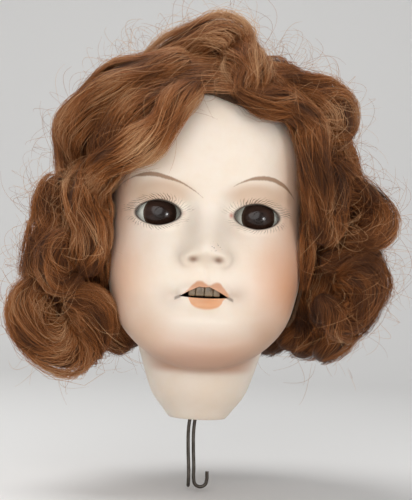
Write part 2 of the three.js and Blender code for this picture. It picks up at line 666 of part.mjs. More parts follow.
// Upper teeth: one strip with a scalloped edge, set in plaster behind the lip
function toothShape() {
  const half = (teeth * toothWidth) / 2;
  const edge = mouthLevel - 0.3 * toothHeight;
  const top = edge + toothHeight;
  const root = edge + 0.35 * toothHeight;
  const shape = new THREE.Shape();
  shape.moveTo(-half, top);
  for (let i = 0; i < teeth; i += 1) {
    const x = -half + i * toothWidth;
    shape.lineTo(x, root);
    shape.bezierCurveTo(x + 0.05 * toothWidth, edge, x + 0.95 * toothWidth, edge, x + toothWidth, root);
  }
  shape.lineTo(half, top);
  return shape;
}

add('tooth_row', slab(toothShape(), toothFront, toothFront + toothThickness, 5), 'porcelain');

const plasterBack = toothFront + toothThickness + gap;
const plasterLump = new THREE.SphereGeometry(1, 14, 10);
plasterLump.scale(0.62 * teeth * toothWidth, 0.9 * plasterHeight, plasterHeight);
plasterLump.translate(0, plasterBack, mouthLevel + toothHeight);
const plasterRoom = box(reach, reach, reach, 0, plasterBack + reach / 2, mouthLevel);
add('tooth_plaster', largestPiece(solidOf(plasterLump).intersect(plasterRoom)
  .intersect(cavity(gap).add(toothRecess(gap)))), 'plaster');

// Neck button: turned wood that fits the bowl of the neck, with a boss in the ring and a slot for the hook
const pinHeight = buttonTop + 0.2 * pinRadius;
const buttonShares = [[0, 0.08], [1, 0.08], [1, 0.4], [1, 0.8], [0.72, 0.98], [0.64, 1], [0, 1]];
const buttonLathe = new THREE.LatheGeometry(buttonShares.map(([r, z]) => new THREE.Vector2(
  r * buttonRadius, z * buttonTop,
)), 24);
buttonLathe.rotateX(Math.PI / 2);
const bossRoom = rod(buttonBoss, 2 * buttonTop, 24, 'z', 0, 0, buttonTop);
const bowl = cavity(gap).add(bossRoom);
const slot = box(slotLength, slotWidth, 4 * buttonTop, 0, 0, 0);
const groove = rod(pinRadius + gap, pinLength + 2 * gap, 12, 'y', 0, 0, pinHeight);
add('neck_button', largestPiece(solidOf(buttonLathe).intersect(bowl).subtract(slot).subtract(groove)), 'wood');
add('hook_pin', rod(pinRadius, pinLength, 12, 'y', 0, 0, pinHeight), 'steel');

// Hook: one wire over the pin, down through the slot, one leg curled to the side and one to the back.
// The bow is how far the two legs lie aside at each level, as shares of the bow and of the drop.
const bowShares = [[0.35, -0.3], [0.8, 0], [1, 0.2], [0.9, 0.5], [0.65, 0.8], [0.55, 1]];

function hookRoute() {
  const loop = pinRadius + gap + wireRadius;
  const half = legSpacing / 2;
  const legs = bowShares.map(([aside, level]) => ({ x: -aside * hookBow, z: -level * hookDrop }));
  const curlSteps = 6;
  const right = legs.map(({ x, z }) => new THREE.Vector3(x + half, 0, z));
  const left = legs.map(({ x, z }) => new THREE.Vector3(x - half, 0, z));
  const end = legs[legs.length - 1];
  for (let i = 1; i <= curlSteps; i += 1) {
    const angle = (Math.PI * i) / curlSteps;
    const across = hookCurl * (1 - Math.cos(angle));
    const down = hookCurl * Math.sin(angle);
    right.push(new THREE.Vector3(end.x + half + across, 0, end.z - down));
    left.push(new THREE.Vector3(end.x - half, across, end.z - down));
  }
  right.push(new THREE.Vector3(end.x + half + 2 * hookCurl, 0, end.z + hookTip));
  left.push(new THREE.Vector3(end.x - half, 2 * hookCurl, end.z + hookTip));
  const over = [];
  for (let i = 0; i <= curlSteps; i += 1) {
    const angle = Math.PI * (-0.15 + (1.3 * i) / curlSteps);
    over.push(new THREE.Vector3(loop * Math.cos(angle), 0, pinHeight + loop * Math.sin(angle)));
  }
  return [...right.reverse(), ...over, ...left];
}

const hookCurve = new THREE.CatmullRomCurve3(hookRoute(), false, 'centripetal');
add('neck_hook', wire(hookCurve, wireRadius, 56, 3), 'steel');

export default group;
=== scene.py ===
"""Bisque doll head with sleeping eyes and a mohair wig, dressed over its solids for rendering."""
import json
import math

import bmesh
import bpy
import numpy as np
from bpy.props import FloatProperty, FloatVectorProperty, IntProperty, PointerProperty
from mathutils import Matrix, Vector
from mathutils.bvhtree import BVHTree


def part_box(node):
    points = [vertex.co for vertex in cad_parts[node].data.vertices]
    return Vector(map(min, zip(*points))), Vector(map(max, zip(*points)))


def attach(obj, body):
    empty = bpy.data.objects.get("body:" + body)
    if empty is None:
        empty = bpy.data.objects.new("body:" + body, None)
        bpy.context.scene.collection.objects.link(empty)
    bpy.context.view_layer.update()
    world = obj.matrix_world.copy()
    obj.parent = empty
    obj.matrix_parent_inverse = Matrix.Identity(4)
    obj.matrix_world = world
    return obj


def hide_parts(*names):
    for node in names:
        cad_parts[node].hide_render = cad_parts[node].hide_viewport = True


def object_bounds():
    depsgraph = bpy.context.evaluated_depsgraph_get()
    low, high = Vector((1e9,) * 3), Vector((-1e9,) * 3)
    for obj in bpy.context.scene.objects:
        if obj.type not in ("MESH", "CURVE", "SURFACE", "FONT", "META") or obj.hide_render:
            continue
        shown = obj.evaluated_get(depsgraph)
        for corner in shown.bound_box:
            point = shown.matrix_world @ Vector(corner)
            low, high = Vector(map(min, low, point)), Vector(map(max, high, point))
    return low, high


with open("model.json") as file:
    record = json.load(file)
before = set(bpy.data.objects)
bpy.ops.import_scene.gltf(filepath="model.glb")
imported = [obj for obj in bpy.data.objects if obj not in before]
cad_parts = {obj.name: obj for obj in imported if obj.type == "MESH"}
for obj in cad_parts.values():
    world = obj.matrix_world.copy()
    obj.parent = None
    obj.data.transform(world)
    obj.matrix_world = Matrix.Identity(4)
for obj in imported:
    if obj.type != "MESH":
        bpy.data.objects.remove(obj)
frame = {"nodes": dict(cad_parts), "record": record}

bl_info = {
    "name": "Bisque doll head",
    "version": (1, 0, 0),
    "blender": (4, 5, 0),
    "location": "View3D > Sidebar > Doll head",
    "description": "Builds a bisque doll head with glass eyes, teeth, a mohair wig and a wire hook",
    "category": "Object",
}

CAD_LOW, CAD_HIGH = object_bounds()
MM = 0.001


# Sizes of the object, in millimetres, as its solids have them

HEAD_HEIGHT, FACE_DEPTH, HEAD_HALF_WIDTH, SKULL_DEPTH = 98.0, 27.0, 28.0, 34.0
NECK_RADIUS, NECK_HEIGHT, BISQUE, NECK_HOLE = 16.5, 20.0, 2.8, 6.2
CROWN_HEIGHT, CROWN_TILT = 83.0, math.radians(18.3)
EYE_HEIGHT, EYE_SPACING, EYE_WIDTH, EYE_OPENING = 57.0, 27.0, 12.3, 7.3
EYE_SETBACK, EYE_RADIUS, IRIS_RADIUS, PUPIL_RADIUS = 12.2, 7.8, 4.3, 1.6
IRIS_MARGIN, IRIS_RISE, PUPIL_RISE, LID_RISE, LID_GAP = 0.3, 0.02, 0.028, 0.16, 0.6
EYE_PLAY, RIM_PLAY, RIM_SINK, LID_RIM_RADIUS, LID_RIM_SINK = 0.45, 0.4, 0.15, 0.14, 0.1
GAZE, LID_SWEEP = math.radians(4), math.radians(62)
NOSE_DROP, NOSE_RISE, NOSE_WIDTH = 9.4, 5.2, 14.3
MOUTH_DROP, MOUTH_WIDTH, MOUTH_OPENING, LIP_RISE, CHIN_DROP = 21.2, 13.2, 3.1, 1.35, 36.0
MOUTH_HEIGHT = EYE_HEIGHT - MOUTH_DROP
TOOTH_WIDTHS, TOOTH_ROUNDING, TOOTH_GROWTH, TOOTH_SHIFT = (1.9, 2.4, 2.4, 1.9), 0.36, 0.4, -0.1
EAR_HEIGHT, EAR_RISE = 13.0, 2.0
WIG_HALF_WIDTH, WIG_DEPTH, WIG_HEIGHT, LOCK_RADIUS, NAPE_HEIGHT = 55.0, 50.0, 115.0, 8.0, 27.0
HAIR_INSIDE, HAIR_THICKNESS = 2.1, 4.6
SIDE_BURN = (3.0, 55.0)
WAVE_LENGTH, CLUMPS, BODY_SHARE, LOOSE_REACH, WISP_STRANDS, WISP_SHADE = 17.0, 18, 0.8, 8.0, 180, -0.12
WIRE_RADIUS, HOOK_DROP, HOOK_CURL, HOOK_TIP, HOOK_BOW, LEG_SPACING = 0.5, 18.0, 1.85, 2.6, 1.5, 1.5
PIN_RADIUS, PIN_HEIGHT, PIN_PLAY = 0.9, 10.58, 0.3

# Size of the blocks that cut, and places in front of the face and the wig

CUTTER, BEFORE_FACE, BEFORE_WIG, RAY_START = 300.0, -45.0, -80.0, -60.0

# Profiles of the head from the ring to the crown, as shares: neck, then front, side and back

NECK_SHARES = [(0, -0.06), (0.43, -0.025), (0.618, 0.13), (0.8, 0.33), (0.915, 0.56)]
FRONT_SHARES = [
    (0.585, 0.139), (0.685, 0.149), (0.837, 0.155), (0.948, 0.18), (0.996, 0.222), (0.941, 0.282),
    (0.967, 0.347), (0.963, 0.439), (0.941, 0.582), (1.007, 0.673), (1.037, 0.776), (0.985, 0.867),
    (0.778, 0.945), (0.407, 0.99), (0, 1),
]
SIDE_SHARES = [
    (0.619, 0.186), (0.652, 0.21), (0.726, 0.237), (0.822, 0.269), (0.896, 0.306), (0.948, 0.353),
    (0.981, 0.404), (0.993, 0.461), (0.97, 0.571), (0.989, 0.673), (1.011, 0.776), (0.933, 0.872),
    (0.726, 0.947), (0.407, 0.99), (0, 1),
]
BACK_SHARES = [
    (0.476, 0.173), (0.494, 0.214), (0.547, 0.265), (0.662, 0.316), (0.779, 0.378), (0.865, 0.435),
    (0.918, 0.49), (0.959, 0.551), (0.994, 0.643), (1, 0.714), (0.959, 0.796), (0.841, 0.883),
    (0.606, 0.955), (0.324, 0.99), (0, 1),
]

# Rows of faces between the points of the profiles, crowded where the face has its features

HEAD_ROWS = [1, 1, 1, 1, 1, 1, 1, 1, 2, 3, 5, 7, 8, 3, 2, 1, 1, 1, 1]

# Features of the face, as shares of the eye spacing: place in X and Z from the eyes, width, height and rise

FEATURES = {
    "ala": (0.19, -0.45, 0.09, 0.095, 0.085),
    "nostril": (0.12, -0.465, 0.05, 0.028, -0.06),
    "philtrum": (0, -0.605, 0.045, 0.09, -0.018),
    "socket": (0.5, 0.03, 0.32, 0.24, -0.055),
    "inner_socket": (0.24, 0.01, 0.11, 0.16, -0.08),
    "brow": (0.5, 0.4, 0.32, 0.1, 0.022),
    "cheek": (0.62, -0.67, 0.3, 0.32, 0.045),
    "mouth_corner": (0.3, -0.83, 0.05, 0.045, -0.03),
    "mouth_side": (0.36, -0.88, 0.1, 0.14, -0.022),
    "chin_crease": (0, -1.06, 0.24, 0.06, -0.02),
}

# Edge of the hair round the face, as shares of the head's half width and height

HAIRLINE = [
    (-1.06, -0.2), (-1.06, 0.6), (-0.95, 0.68), (-0.62, 0.735), (-0.48, 0.785), (-0.3, 0.855), (-0.2, 0.9),
    (0, 0.895), (0.25, 0.86), (0.46, 0.835), (0.79, 0.84), (0.86, 0.81), (0.93, 0.74), (1.06, 0.6),
    (1.06, -0.2),
]

# Locks of the wig: width and depth as shares of the lock radius, then the route as shares of the
# wig's half width, depth and height

LOCKS = {
    "crest_wave": (0.85, 0.9, [
        (-0.373, -0.18, 0.837), (-0.222, -0.26, 0.881), (-0.084, -0.32, 0.913), (0.036, -0.36, 0.918),
        (0.118, -0.38, 0.887), (0.151, -0.48, 0.842), (0.16, -0.58, 0.8), (0.145, -0.65, 0.765)]),
    "wave_left": (0.9, 0.9, [
        (-0.111, -0.46, 0.85), (-0.26, -0.45, 0.833), (-0.429, -0.36, 0.804), (-0.58, -0.26, 0.762),
        (-0.678, -0.2, 0.698), (-0.705, -0.16, 0.636), (-0.72, -0.14, 0.577)]),
    "wave_right": (0.8, 0.9, [
        (0.224, -0.34, 0.839), (0.36, -0.32, 0.817), (0.509, -0.26, 0.797), (0.618, -0.22, 0.765),
        (0.64, -0.2, 0.718), (0.564, -0.22, 0.683)]),
    "temple_roll_right": (0.6, 0.55, [
        (0.111, -0.63, 0.783), (0.233, -0.63, 0.755), (0.375, -0.56, 0.75), (0.473, -0.51, 0.713),
        (0.505, -0.5, 0.644), (0.535, -0.46, 0.55), (0.564, -0.38, 0.453)]),
    "temple_roll_left": (0.72, 0.55, [
        (-0.073, -0.59, 0.797), (-0.16, -0.65, 0.748), (-0.251, -0.65, 0.687), (-0.364, -0.61, 0.637),
        (-0.495, -0.48, 0.607), (-0.573, -0.34, 0.555), (-0.6, -0.26, 0.491)]),
    "side_lock_right": (0.68, 0.75, [
        (0.629, -0.14, 0.663), (0.713, -0.12, 0.597), (0.824, -0.14, 0.55), (0.873, -0.18, 0.5),
        (0.8, -0.22, 0.457), (0.695, -0.24, 0.463)]),
    "mid_lock_right": (0.62, 0.7, [
        (0.589, -0.3, 0.683), (0.553, -0.32, 0.623), (0.619, -0.34, 0.561), (0.605, -0.34, 0.497),
        (0.571, -0.34, 0.439)]),
    "lower_curl_right": (0.7, 0.85, [
        (0.584, -0.26, 0.401), (0.707, -0.26, 0.395), (0.804, -0.26, 0.344), (0.77, -0.26, 0.28),
        (0.657, -0.28, 0.268), (0.587, -0.32, 0.319)]),
    "outer_curl_right": (0.5, 0.7, [
        (0.782, -0.08, 0.426), (0.86, -0.06, 0.4), (0.88, -0.06, 0.348), (0.833, -0.06, 0.291)]),
    "side_lock_left": (0.78, 0.8, [
        (-0.757, -0.06, 0.583), (-0.809, -0.08, 0.521), (-0.789, -0.1, 0.456), (-0.85, -0.12, 0.384),
        (-0.891, -0.14, 0.314)]),
    "mid_lock_left": (0.62, 0.7, [
        (-0.587, -0.34, 0.624), (-0.61, -0.34, 0.565), (-0.62, -0.36, 0.506), (-0.574, -0.36, 0.446),
        (-0.585, -0.33, 0.385), (-0.6, -0.31, 0.335)]),
    "spiral_curl_left": (0.55, 0.7, [
        (-0.584, -0.28, 0.408), (-0.685, -0.3, 0.42), (-0.748, -0.32, 0.374), (-0.702, -0.32, 0.323),
        (-0.604, -0.3, 0.335)]),
    "lower_curl_left": (0.88, 0.95, [
        (-0.8, -0.14, 0.335), (-0.88, -0.16, 0.265), (-0.825, -0.2, 0.191), (-0.673, -0.22, 0.165),
        (-0.556, -0.24, 0.2), (-0.582, -0.28, 0.265), (-0.7, -0.3, 0.278)]),
    "cheek_lock_left": (0.66, 0.75, [
        (-0.591, -0.04, 0.49), (-0.582, 0.02, 0.388), (-0.553, 0.1, 0.279), (-0.462, 0.18, 0.2),
        (-0.382, 0.24, 0.156)]),
    "cheek_lock_right": (0.66, 0.75, [
        (0.555, -0.06, 0.501), (0.567, 0.02, 0.403), (0.567, 0.12, 0.308), (0.524, 0.2, 0.235),
        (0.445, 0.26, 0.18)]),
}
for number in range(3):
    spread = number - 1
    LOCKS[f"crown_lock_{number + 1}"] = (1.2, 0.75, [
        (0.34 * spread, y, z - 0.035 * abs(spread))
        for y, z in [(-0.12, 0.905), (0.16, 0.905), (0.44, 0.87), (0.66, 0.79)]])
BACK_ROUTE = [(0.4, 0.84, 0), (0.58, 0.76, 0.05), (0.67, 0.63, -0.03), (0.7, 0.5, 0.05), (0.72, 0.38, -0.04),
              (0.68, 0.28, 0.04), (0.71, 0.21, 0.02), (0.62, 0.16, 0)]
for number in range(8):
    turn = math.pi * (0.53 + 0.94 * number / 7)
    LOCKS[f"back_lock_{number + 1}"] = (1.35, 0.95, [
        (r * math.sin(turn + sway), -(r + 0.16) * math.cos(turn + sway), z) for r, z, sway in BACK_ROUTE])

# Wisps at the edges of the face, given as the locks are

WISPS = {
    "left_wisps": (0.3, 0.25, [
        (-0.435, -0.46, 0.64), (-0.52, -0.33, 0.555), (-0.517, -0.27, 0.483), (-0.517, -0.23, 0.4),
        (-0.505, -0.2, 0.316)]),
    "right_wisps": (0.28, 0.25, [
        (0.48, -0.44, 0.623), (0.51, -0.34, 0.517), (0.518, -0.27, 0.42), (0.52, -0.22, 0.325)]),
}

# Painted shade in the hollows and painted highlights on the crowns of the waves: place in X and Z, spread,
# and how much lighter

WAVE_PAINTED_SHADES = [
    (-30, 78, 6, -0.5), (-31, 70, 3, -0.3), (-37, 76, 4, -0.3), (-39, 60, 3, -0.2), (-45, 46, 5, -0.45),
    (-49, 50, 3, -0.3), (-49, 42, 3, -0.3), (-31, 37, 5, -0.4), (-29, 27, 4, -0.3), (-15, 93, 7, -0.25),
    (-7, 92, 4, -0.35), (-2, 96, 2, -0.2), (1, 106, 3, -0.2), (7, 100, 4, -0.4), (20, 95, 4, -0.5),
    (15, 89, 4, -0.5), (31, 93, 3, -0.2), (27, 85, 3, -0.25), (36, 71, 5, -0.5), (31, 67, 4, -0.4),
    (46, 61, 4, -0.35), (44, 46, 6, -0.4), (47, 47, 4, -0.4), (30, 28, 4, -0.45), (39, 29, 4, -0.3),
]
WAVE_PAINTED_HIGHLIGHTS = [
    (0, 90, 3, 0.2), (38, 87, 4, 0.6), (35, 80, 3, 0.2), (38, 22, 4, 0.4), (42, 63, 2, 0.2),
    (35, 38, 2, 0.25), (47, 33, 2, 0.25), (-41, 15, 6, 0.2), (-41, 26, 2, 0.25), (-35, 57, 4, 0.1),
    (-16, 71, 3, 0.2), (-33, 86, 2, 0.35), (-22, 86, 3, 0.2), (-6, 102, 3, 0.15),
]


# Shape of the head

def smooth(low, high, value):
    """0 below low, 1 above high, smooth in between."""
    t = np.clip((value - low) / (high - low), 0, 1)
    return t * t * (3 - 2 * t)


def bell(value, width):
    """1 at 0, falling softly to 0 on both sides."""
    return np.exp(-((value / width) ** 2))


def spline(points, place):
    """Points of a smooth curve through the given points, at places from 0 to 1."""
    points = np.asarray(points, float)
    last = len(points) - 1
    at = np.clip(place, 0, 1) * last
    k = np.minimum(at.astype(int), last - 1)
    t = (at - k)[..., None]
    a, b, c, d = (points[np.clip(k + i, 0, last)] for i in (-1, 0, 1, 2))
    va, vb = (c - a) / 2, (d - b) / 2
    return (2 * b - 2 * c + va + vb) * t ** 3 + (-3 * b + 3 * c - 2 * va - vb) * t ** 2 + va * t + b


def profile(depth, shares):
    """The neck's shares and those of one side of the head, as radius and height in millimetres."""
    neck = [(r * NECK_RADIUS, z * NECK_HEIGHT) for r, z in NECK_SHARES]
    return neck + [(r * depth, z * HEAD_HEIGHT) for r, z in shares]


FRONT = profile(FACE_DEPTH, FRONT_SHARES)
SIDE = profile(HEAD_HALF_WIDTH, SIDE_SHARES)
BACK = profile(SKULL_DEPTH, BACK_SHARES)
LANDMARKS = len(FRONT) - 1


def plain_points(angle, place, offset):
    """Head without its features: angle 0 is the face, place runs from the ring to the crown."""
    def off(points):
        here = spline(points, place)
        run = spline(points, np.minimum(place + 1e-4, 1)) - spline(points, np.maximum(place - 1e-4, 0))
        run /= np.linalg.norm(run, axis=-1, keepdims=True)
        return here[..., 0] + run[..., 1] * offset, here[..., 1] - run[..., 0] * offset

    facing = np.cos(angle)
    front, side, back = off(FRONT), off(SIDE), off(BACK)
    end = [np.where(facing > 0, f, b) for f, b in zip(front, back)]
    level = place * LANDMARKS
    power = 2 + 0.45 * smooth(5, 9, level) * (1 - smooth(15, 18, level))
    with np.errstate(divide="ignore"):
        total = (abs(facing) / end[0]) ** power + (abs(np.sin(angle)) / side[0]) ** power
        radius = np.where((place <= 0) | (place >= 1), 0, total ** (-1 / power))
    tip = np.where(place <= 0, NECK_SHARES[0][1] * NECK_HEIGHT - offset, HEAD_HEIGHT + offset)
    height = end[1] * facing ** 2 + side[1] * (1 - facing ** 2)
    height = np.where((place <= 0) | (place >= 1), tip, height)
    return np.stack([radius * np.sin(angle), -radius * facing, height], -1)


def relief(x, z):
    """How far the features stand out of the plain face."""
    rise = np.zeros_like(x)
    for px, pz, w, h, r in FEATURES.values():
        for side in ((1, -1) if px else (1,)):
            rise += r * EYE_SPACING * bell(z - EYE_HEIGHT - pz * EYE_SPACING, h * EYE_SPACING) * bell(
                x - side * px * EYE_SPACING, w * EYE_SPACING)
    above = z - (EYE_HEIGHT - NOSE_DROP)
    up = np.exp(-(abs(above / (0.82 * NOSE_DROP)) ** 1.7))
    down = np.exp(-(abs(above / (0.36 * NOSE_DROP)) ** 2.8))
    half_width = NOSE_WIDTH * (0.28 + 0.05 * smooth(-NOSE_DROP, 0, -above))
    rise += NOSE_RISE * np.where(above > 0, up, down) * np.exp(-(abs(x / half_width) ** 2.2))
    half = MOUTH_WIDTH / 2
    level = z - MOUTH_HEIGHT + 0.42 * MOUTH_OPENING
    taper = np.sqrt(np.maximum(0, 1 - (x / (half * 1.12)) ** 2))
    bow = 0.85 * MOUTH_OPENING * (1 - 0.5 * (abs(x) / half) ** 1.5) - 0.1 * MOUTH_OPENING * bell(x, half / 4)
    upper = bell(level - bow, 0.5 * MOUTH_OPENING) * taper
    lower = bell(level + 0.72 * MOUTH_OPENING, 0.52 * MOUTH_OPENING) * bell(x, 0.62 * half)
    rise += LIP_RISE * np.maximum(upper, lower)
    lid = np.hypot((abs(x) - EYE_SPACING / 2) / (0.5 * EYE_WIDTH), (z - EYE_HEIGHT) / (0.5 * EYE_OPENING))
    rise += 0.07 * EYE_OPENING * bell(lid - 1.12, 0.22)
    chin = bell(x, 0.2 * CHIN_DROP) * bell(z - (EYE_HEIGHT - CHIN_DROP), 0.12 * CHIN_DROP)
    return rise + 0.03 * CHIN_DROP * chin


def head_points(angle, place, offset):
    """Head with its features and ears."""
    at = plain_points(angle, place, offset)
    x, y, z = at[..., 0], at[..., 1], at[..., 2]
    facing = smooth(0.05, 0.45, np.cos(angle)) * smooth(NECK_HEIGHT / 2, NECK_HEIGHT, z)
    ear = np.hypot((y - 0.25 * EAR_HEIGHT) / (0.3 * EAR_HEIGHT),
                   (z - EYE_HEIGHT + 0.35 * EAR_HEIGHT) / (0.52 * EAR_HEIGHT))
    ear = EAR_RISE * np.exp(-(ear ** 4)) * smooth(0.7, 0.9, abs(np.sin(angle)))
    return np.stack([x + np.sign(x) * ear, y - relief(x, z) * facing, z], -1)


# Making meshes

def mesh_from(name, bm):
    """The mesh of a bmesh, which is used up."""
    mesh = bpy.data.meshes.new(name)
    bm.to_mesh(mesh)
    bm.free()
    return mesh


def linked(name, data):
    """A new object in the scene."""
    obj = bpy.data.objects.new(name, data)
    bpy.context.scene.collection.objects.link(obj)
    return obj


def finished(name, bm, body, finish, replaced=()):
    """A mesh object from a bmesh in millimetres."""
    bmesh.ops.scale(bm, vec=(MM, MM, MM), verts=bm.verts)
    return placed(name, mesh_from(name, bm), body, finish, replaced)


def placed(name, mesh, body, finish, replaced=()):
    """A smooth object of a mesh in metres. It rides on its body, and may take the place of solids."""
    for face in mesh.polygons:
        face.use_smooth = True
    mesh.materials.clear()
    mesh.materials.append(paint_named(finish))
    obj = linked(name, mesh)
    if body:
        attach(obj, body)
    if replaced:
        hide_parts(*replaced)
    return obj


def form(make, *sizes, **named):
    """A new bmesh that holds one shape."""
    bm = bmesh.new()
    make(bm, *sizes, **named)
    return bm


def ball(bm, sides, rings, radius=1.0, matrix=None):
    """A sphere with a UV map."""
    bm.loops.layers.uv.verify()
    made = bmesh.ops.create_uvsphere(bm, u_segments=sides, v_segments=rings, radius=radius, calc_uvs=True,
                                     matrix=matrix or Matrix.Identity(4))
    return made["verts"]


def loft(bm, points_at, sides, rows, evenness, offset):
    """A sphere drawn over the head's profiles. Below an evenness of 1 its columns crowd at the face."""
    rings = sum(rows)
    places = [0.0]
    for span, count in enumerate(rows):
        places += [(span + (i + 1) / count) / LANDMARKS for i in range(count)]
    verts = ball(bm, sides, rings)
    co = np.array([v.co for v in verts])
    ring = np.rint(np.arccos(np.clip(-co[:, 2], -1, 1)) / math.pi * rings).astype(int)
    turn = np.arctan2(co[:, 0], -co[:, 1]) / math.pi
    angle = math.pi * (evenness * turn + (1 - evenness) * turn ** 3)
    at = points_at(angle, np.array(places)[ring], offset)
    for v, p in zip(verts, at):
        v.co = p
    return verts


def prism(bm, outline, near, far):
    """An outline in X and Z, drawn from one depth to another."""
    face = bm.faces.new([bm.verts.new((x, near, z)) for x, z in outline])
    made = bmesh.ops.extrude_face_region(bm, geom=[face])
    moved = [v for v in made["geom"] if isinstance(v, bmesh.types.BMVert)]
    bmesh.ops.translate(bm, vec=(0, far - near, 0), verts=moved)
    bmesh.ops.recalc_face_normals(bm, faces=bm.faces)


def block(bm, width, depth, height, middle, turn=None):
    """A box round its middle, turned or moved after that."""
    matrix = Matrix.Translation(middle) @ (turn or Matrix.Identity(4)) @ Matrix.Diagonal(
        (width, depth, height, 1))
    bmesh.ops.create_cube(bm, size=1, matrix=matrix)


def cut(bm, cutter, operation="DIFFERENCE"):
    """The first shape less the second, or what they share. Both are used up."""
    objects = [linked("cut", mesh_from("cut", each)) for each in (bm, cutter)]
    modifier = objects[0].modifiers.new("cut", "BOOLEAN")
    modifier.operation, modifier.solver, modifier.object = operation, "EXACT", objects[1]
    whole = objects[0].evaluated_get(bpy.context.evaluated_depsgraph_get())
    result = bmesh.new()
    result.from_mesh(whole.to_mesh())
    whole.to_mesh_clear()
    for obj in objects:
        mesh = obj.data
        bpy.data.objects.remove(obj)
        bpy.data.meshes.remove(mesh)
    return result


def tube(name, routes, radius, body, finish, replaced=(), cyclic=False, sides=6):
    """Round bars along smooth routes, in millimetres."""
    curve = bpy.data.curves.new(name, "CURVE")
    curve.dimensions = "3D"
    curve.bevel_depth, curve.bevel_resolution = radius * MM, sides
    curve.use_fill_caps = True
    curve.resolution_u = 8
    for route in routes:
        line = curve.splines.new("BEZIER")
        line.bezier_points.add(len(route) - 1)
        for point, at in zip(line.bezier_points, route):
            point.co = [c * MM for c in at]
            point.handle_left_type = point.handle_right_type = "AUTO"
        line.use_cyclic_u = cyclic
    return placed(name, meshed(curve), body, finish, replaced)


def meshed(curve):
    """The mesh of a curve, which is used up."""
    obj = linked(curve.name, curve)
    whole = obj.evaluated_get(bpy.context.evaluated_depsgraph_get())
    mesh = bpy.data.meshes.new_from_object(whole)
    bpy.data.objects.remove(obj)
    bpy.data.curves.remove(curve)
    return mesh


# Materials

class Value:
    """One number or vector of a material; its arithmetic adds the nodes that work it out."""

    def __init__(self, paint, socket):
        self.paint, self.socket = paint, socket

    def math(self, operation, *others):
        return self.paint.node("ShaderNodeMath", {"operation": operation}, [self, *others])

    def __add__(self, other):
        return self.math("ADD", other)

    __radd__ = __add__

    def __sub__(self, other):
        return self.math("SUBTRACT", other)

    def __rsub__(self, other):
        return (self * -1) + other

    def __mul__(self, other):
        return self.math("MULTIPLY", other)

    __rmul__ = __mul__

    def __truediv__(self, other):
        return self.math("DIVIDE", other)

    def __abs__(self):
        return self.math("ABSOLUTE")

    def __pow__(self, other):
        return self.math("POWER", other)

    def least(self, other):
        return self.math("MINIMUM", other)

    def most(self, other):
        return self.math("MAXIMUM", other)

    def clipped(self):
        return self.most(0.0).least(1.0)

    def bell(self, width):
        return ((self / width) * (self / width) * -1).math("EXPONENT")

    def between(self, low, high):
        """0 below low, 1 above high, smooth in between."""
        settings = {"interpolation_type": "SMOOTHSTEP"}
        inputs = {"Value": self, 1: low, 2: high, 3: 0.0, 4: 1.0}
        return self.paint.node("ShaderNodeMapRange", settings, inputs)


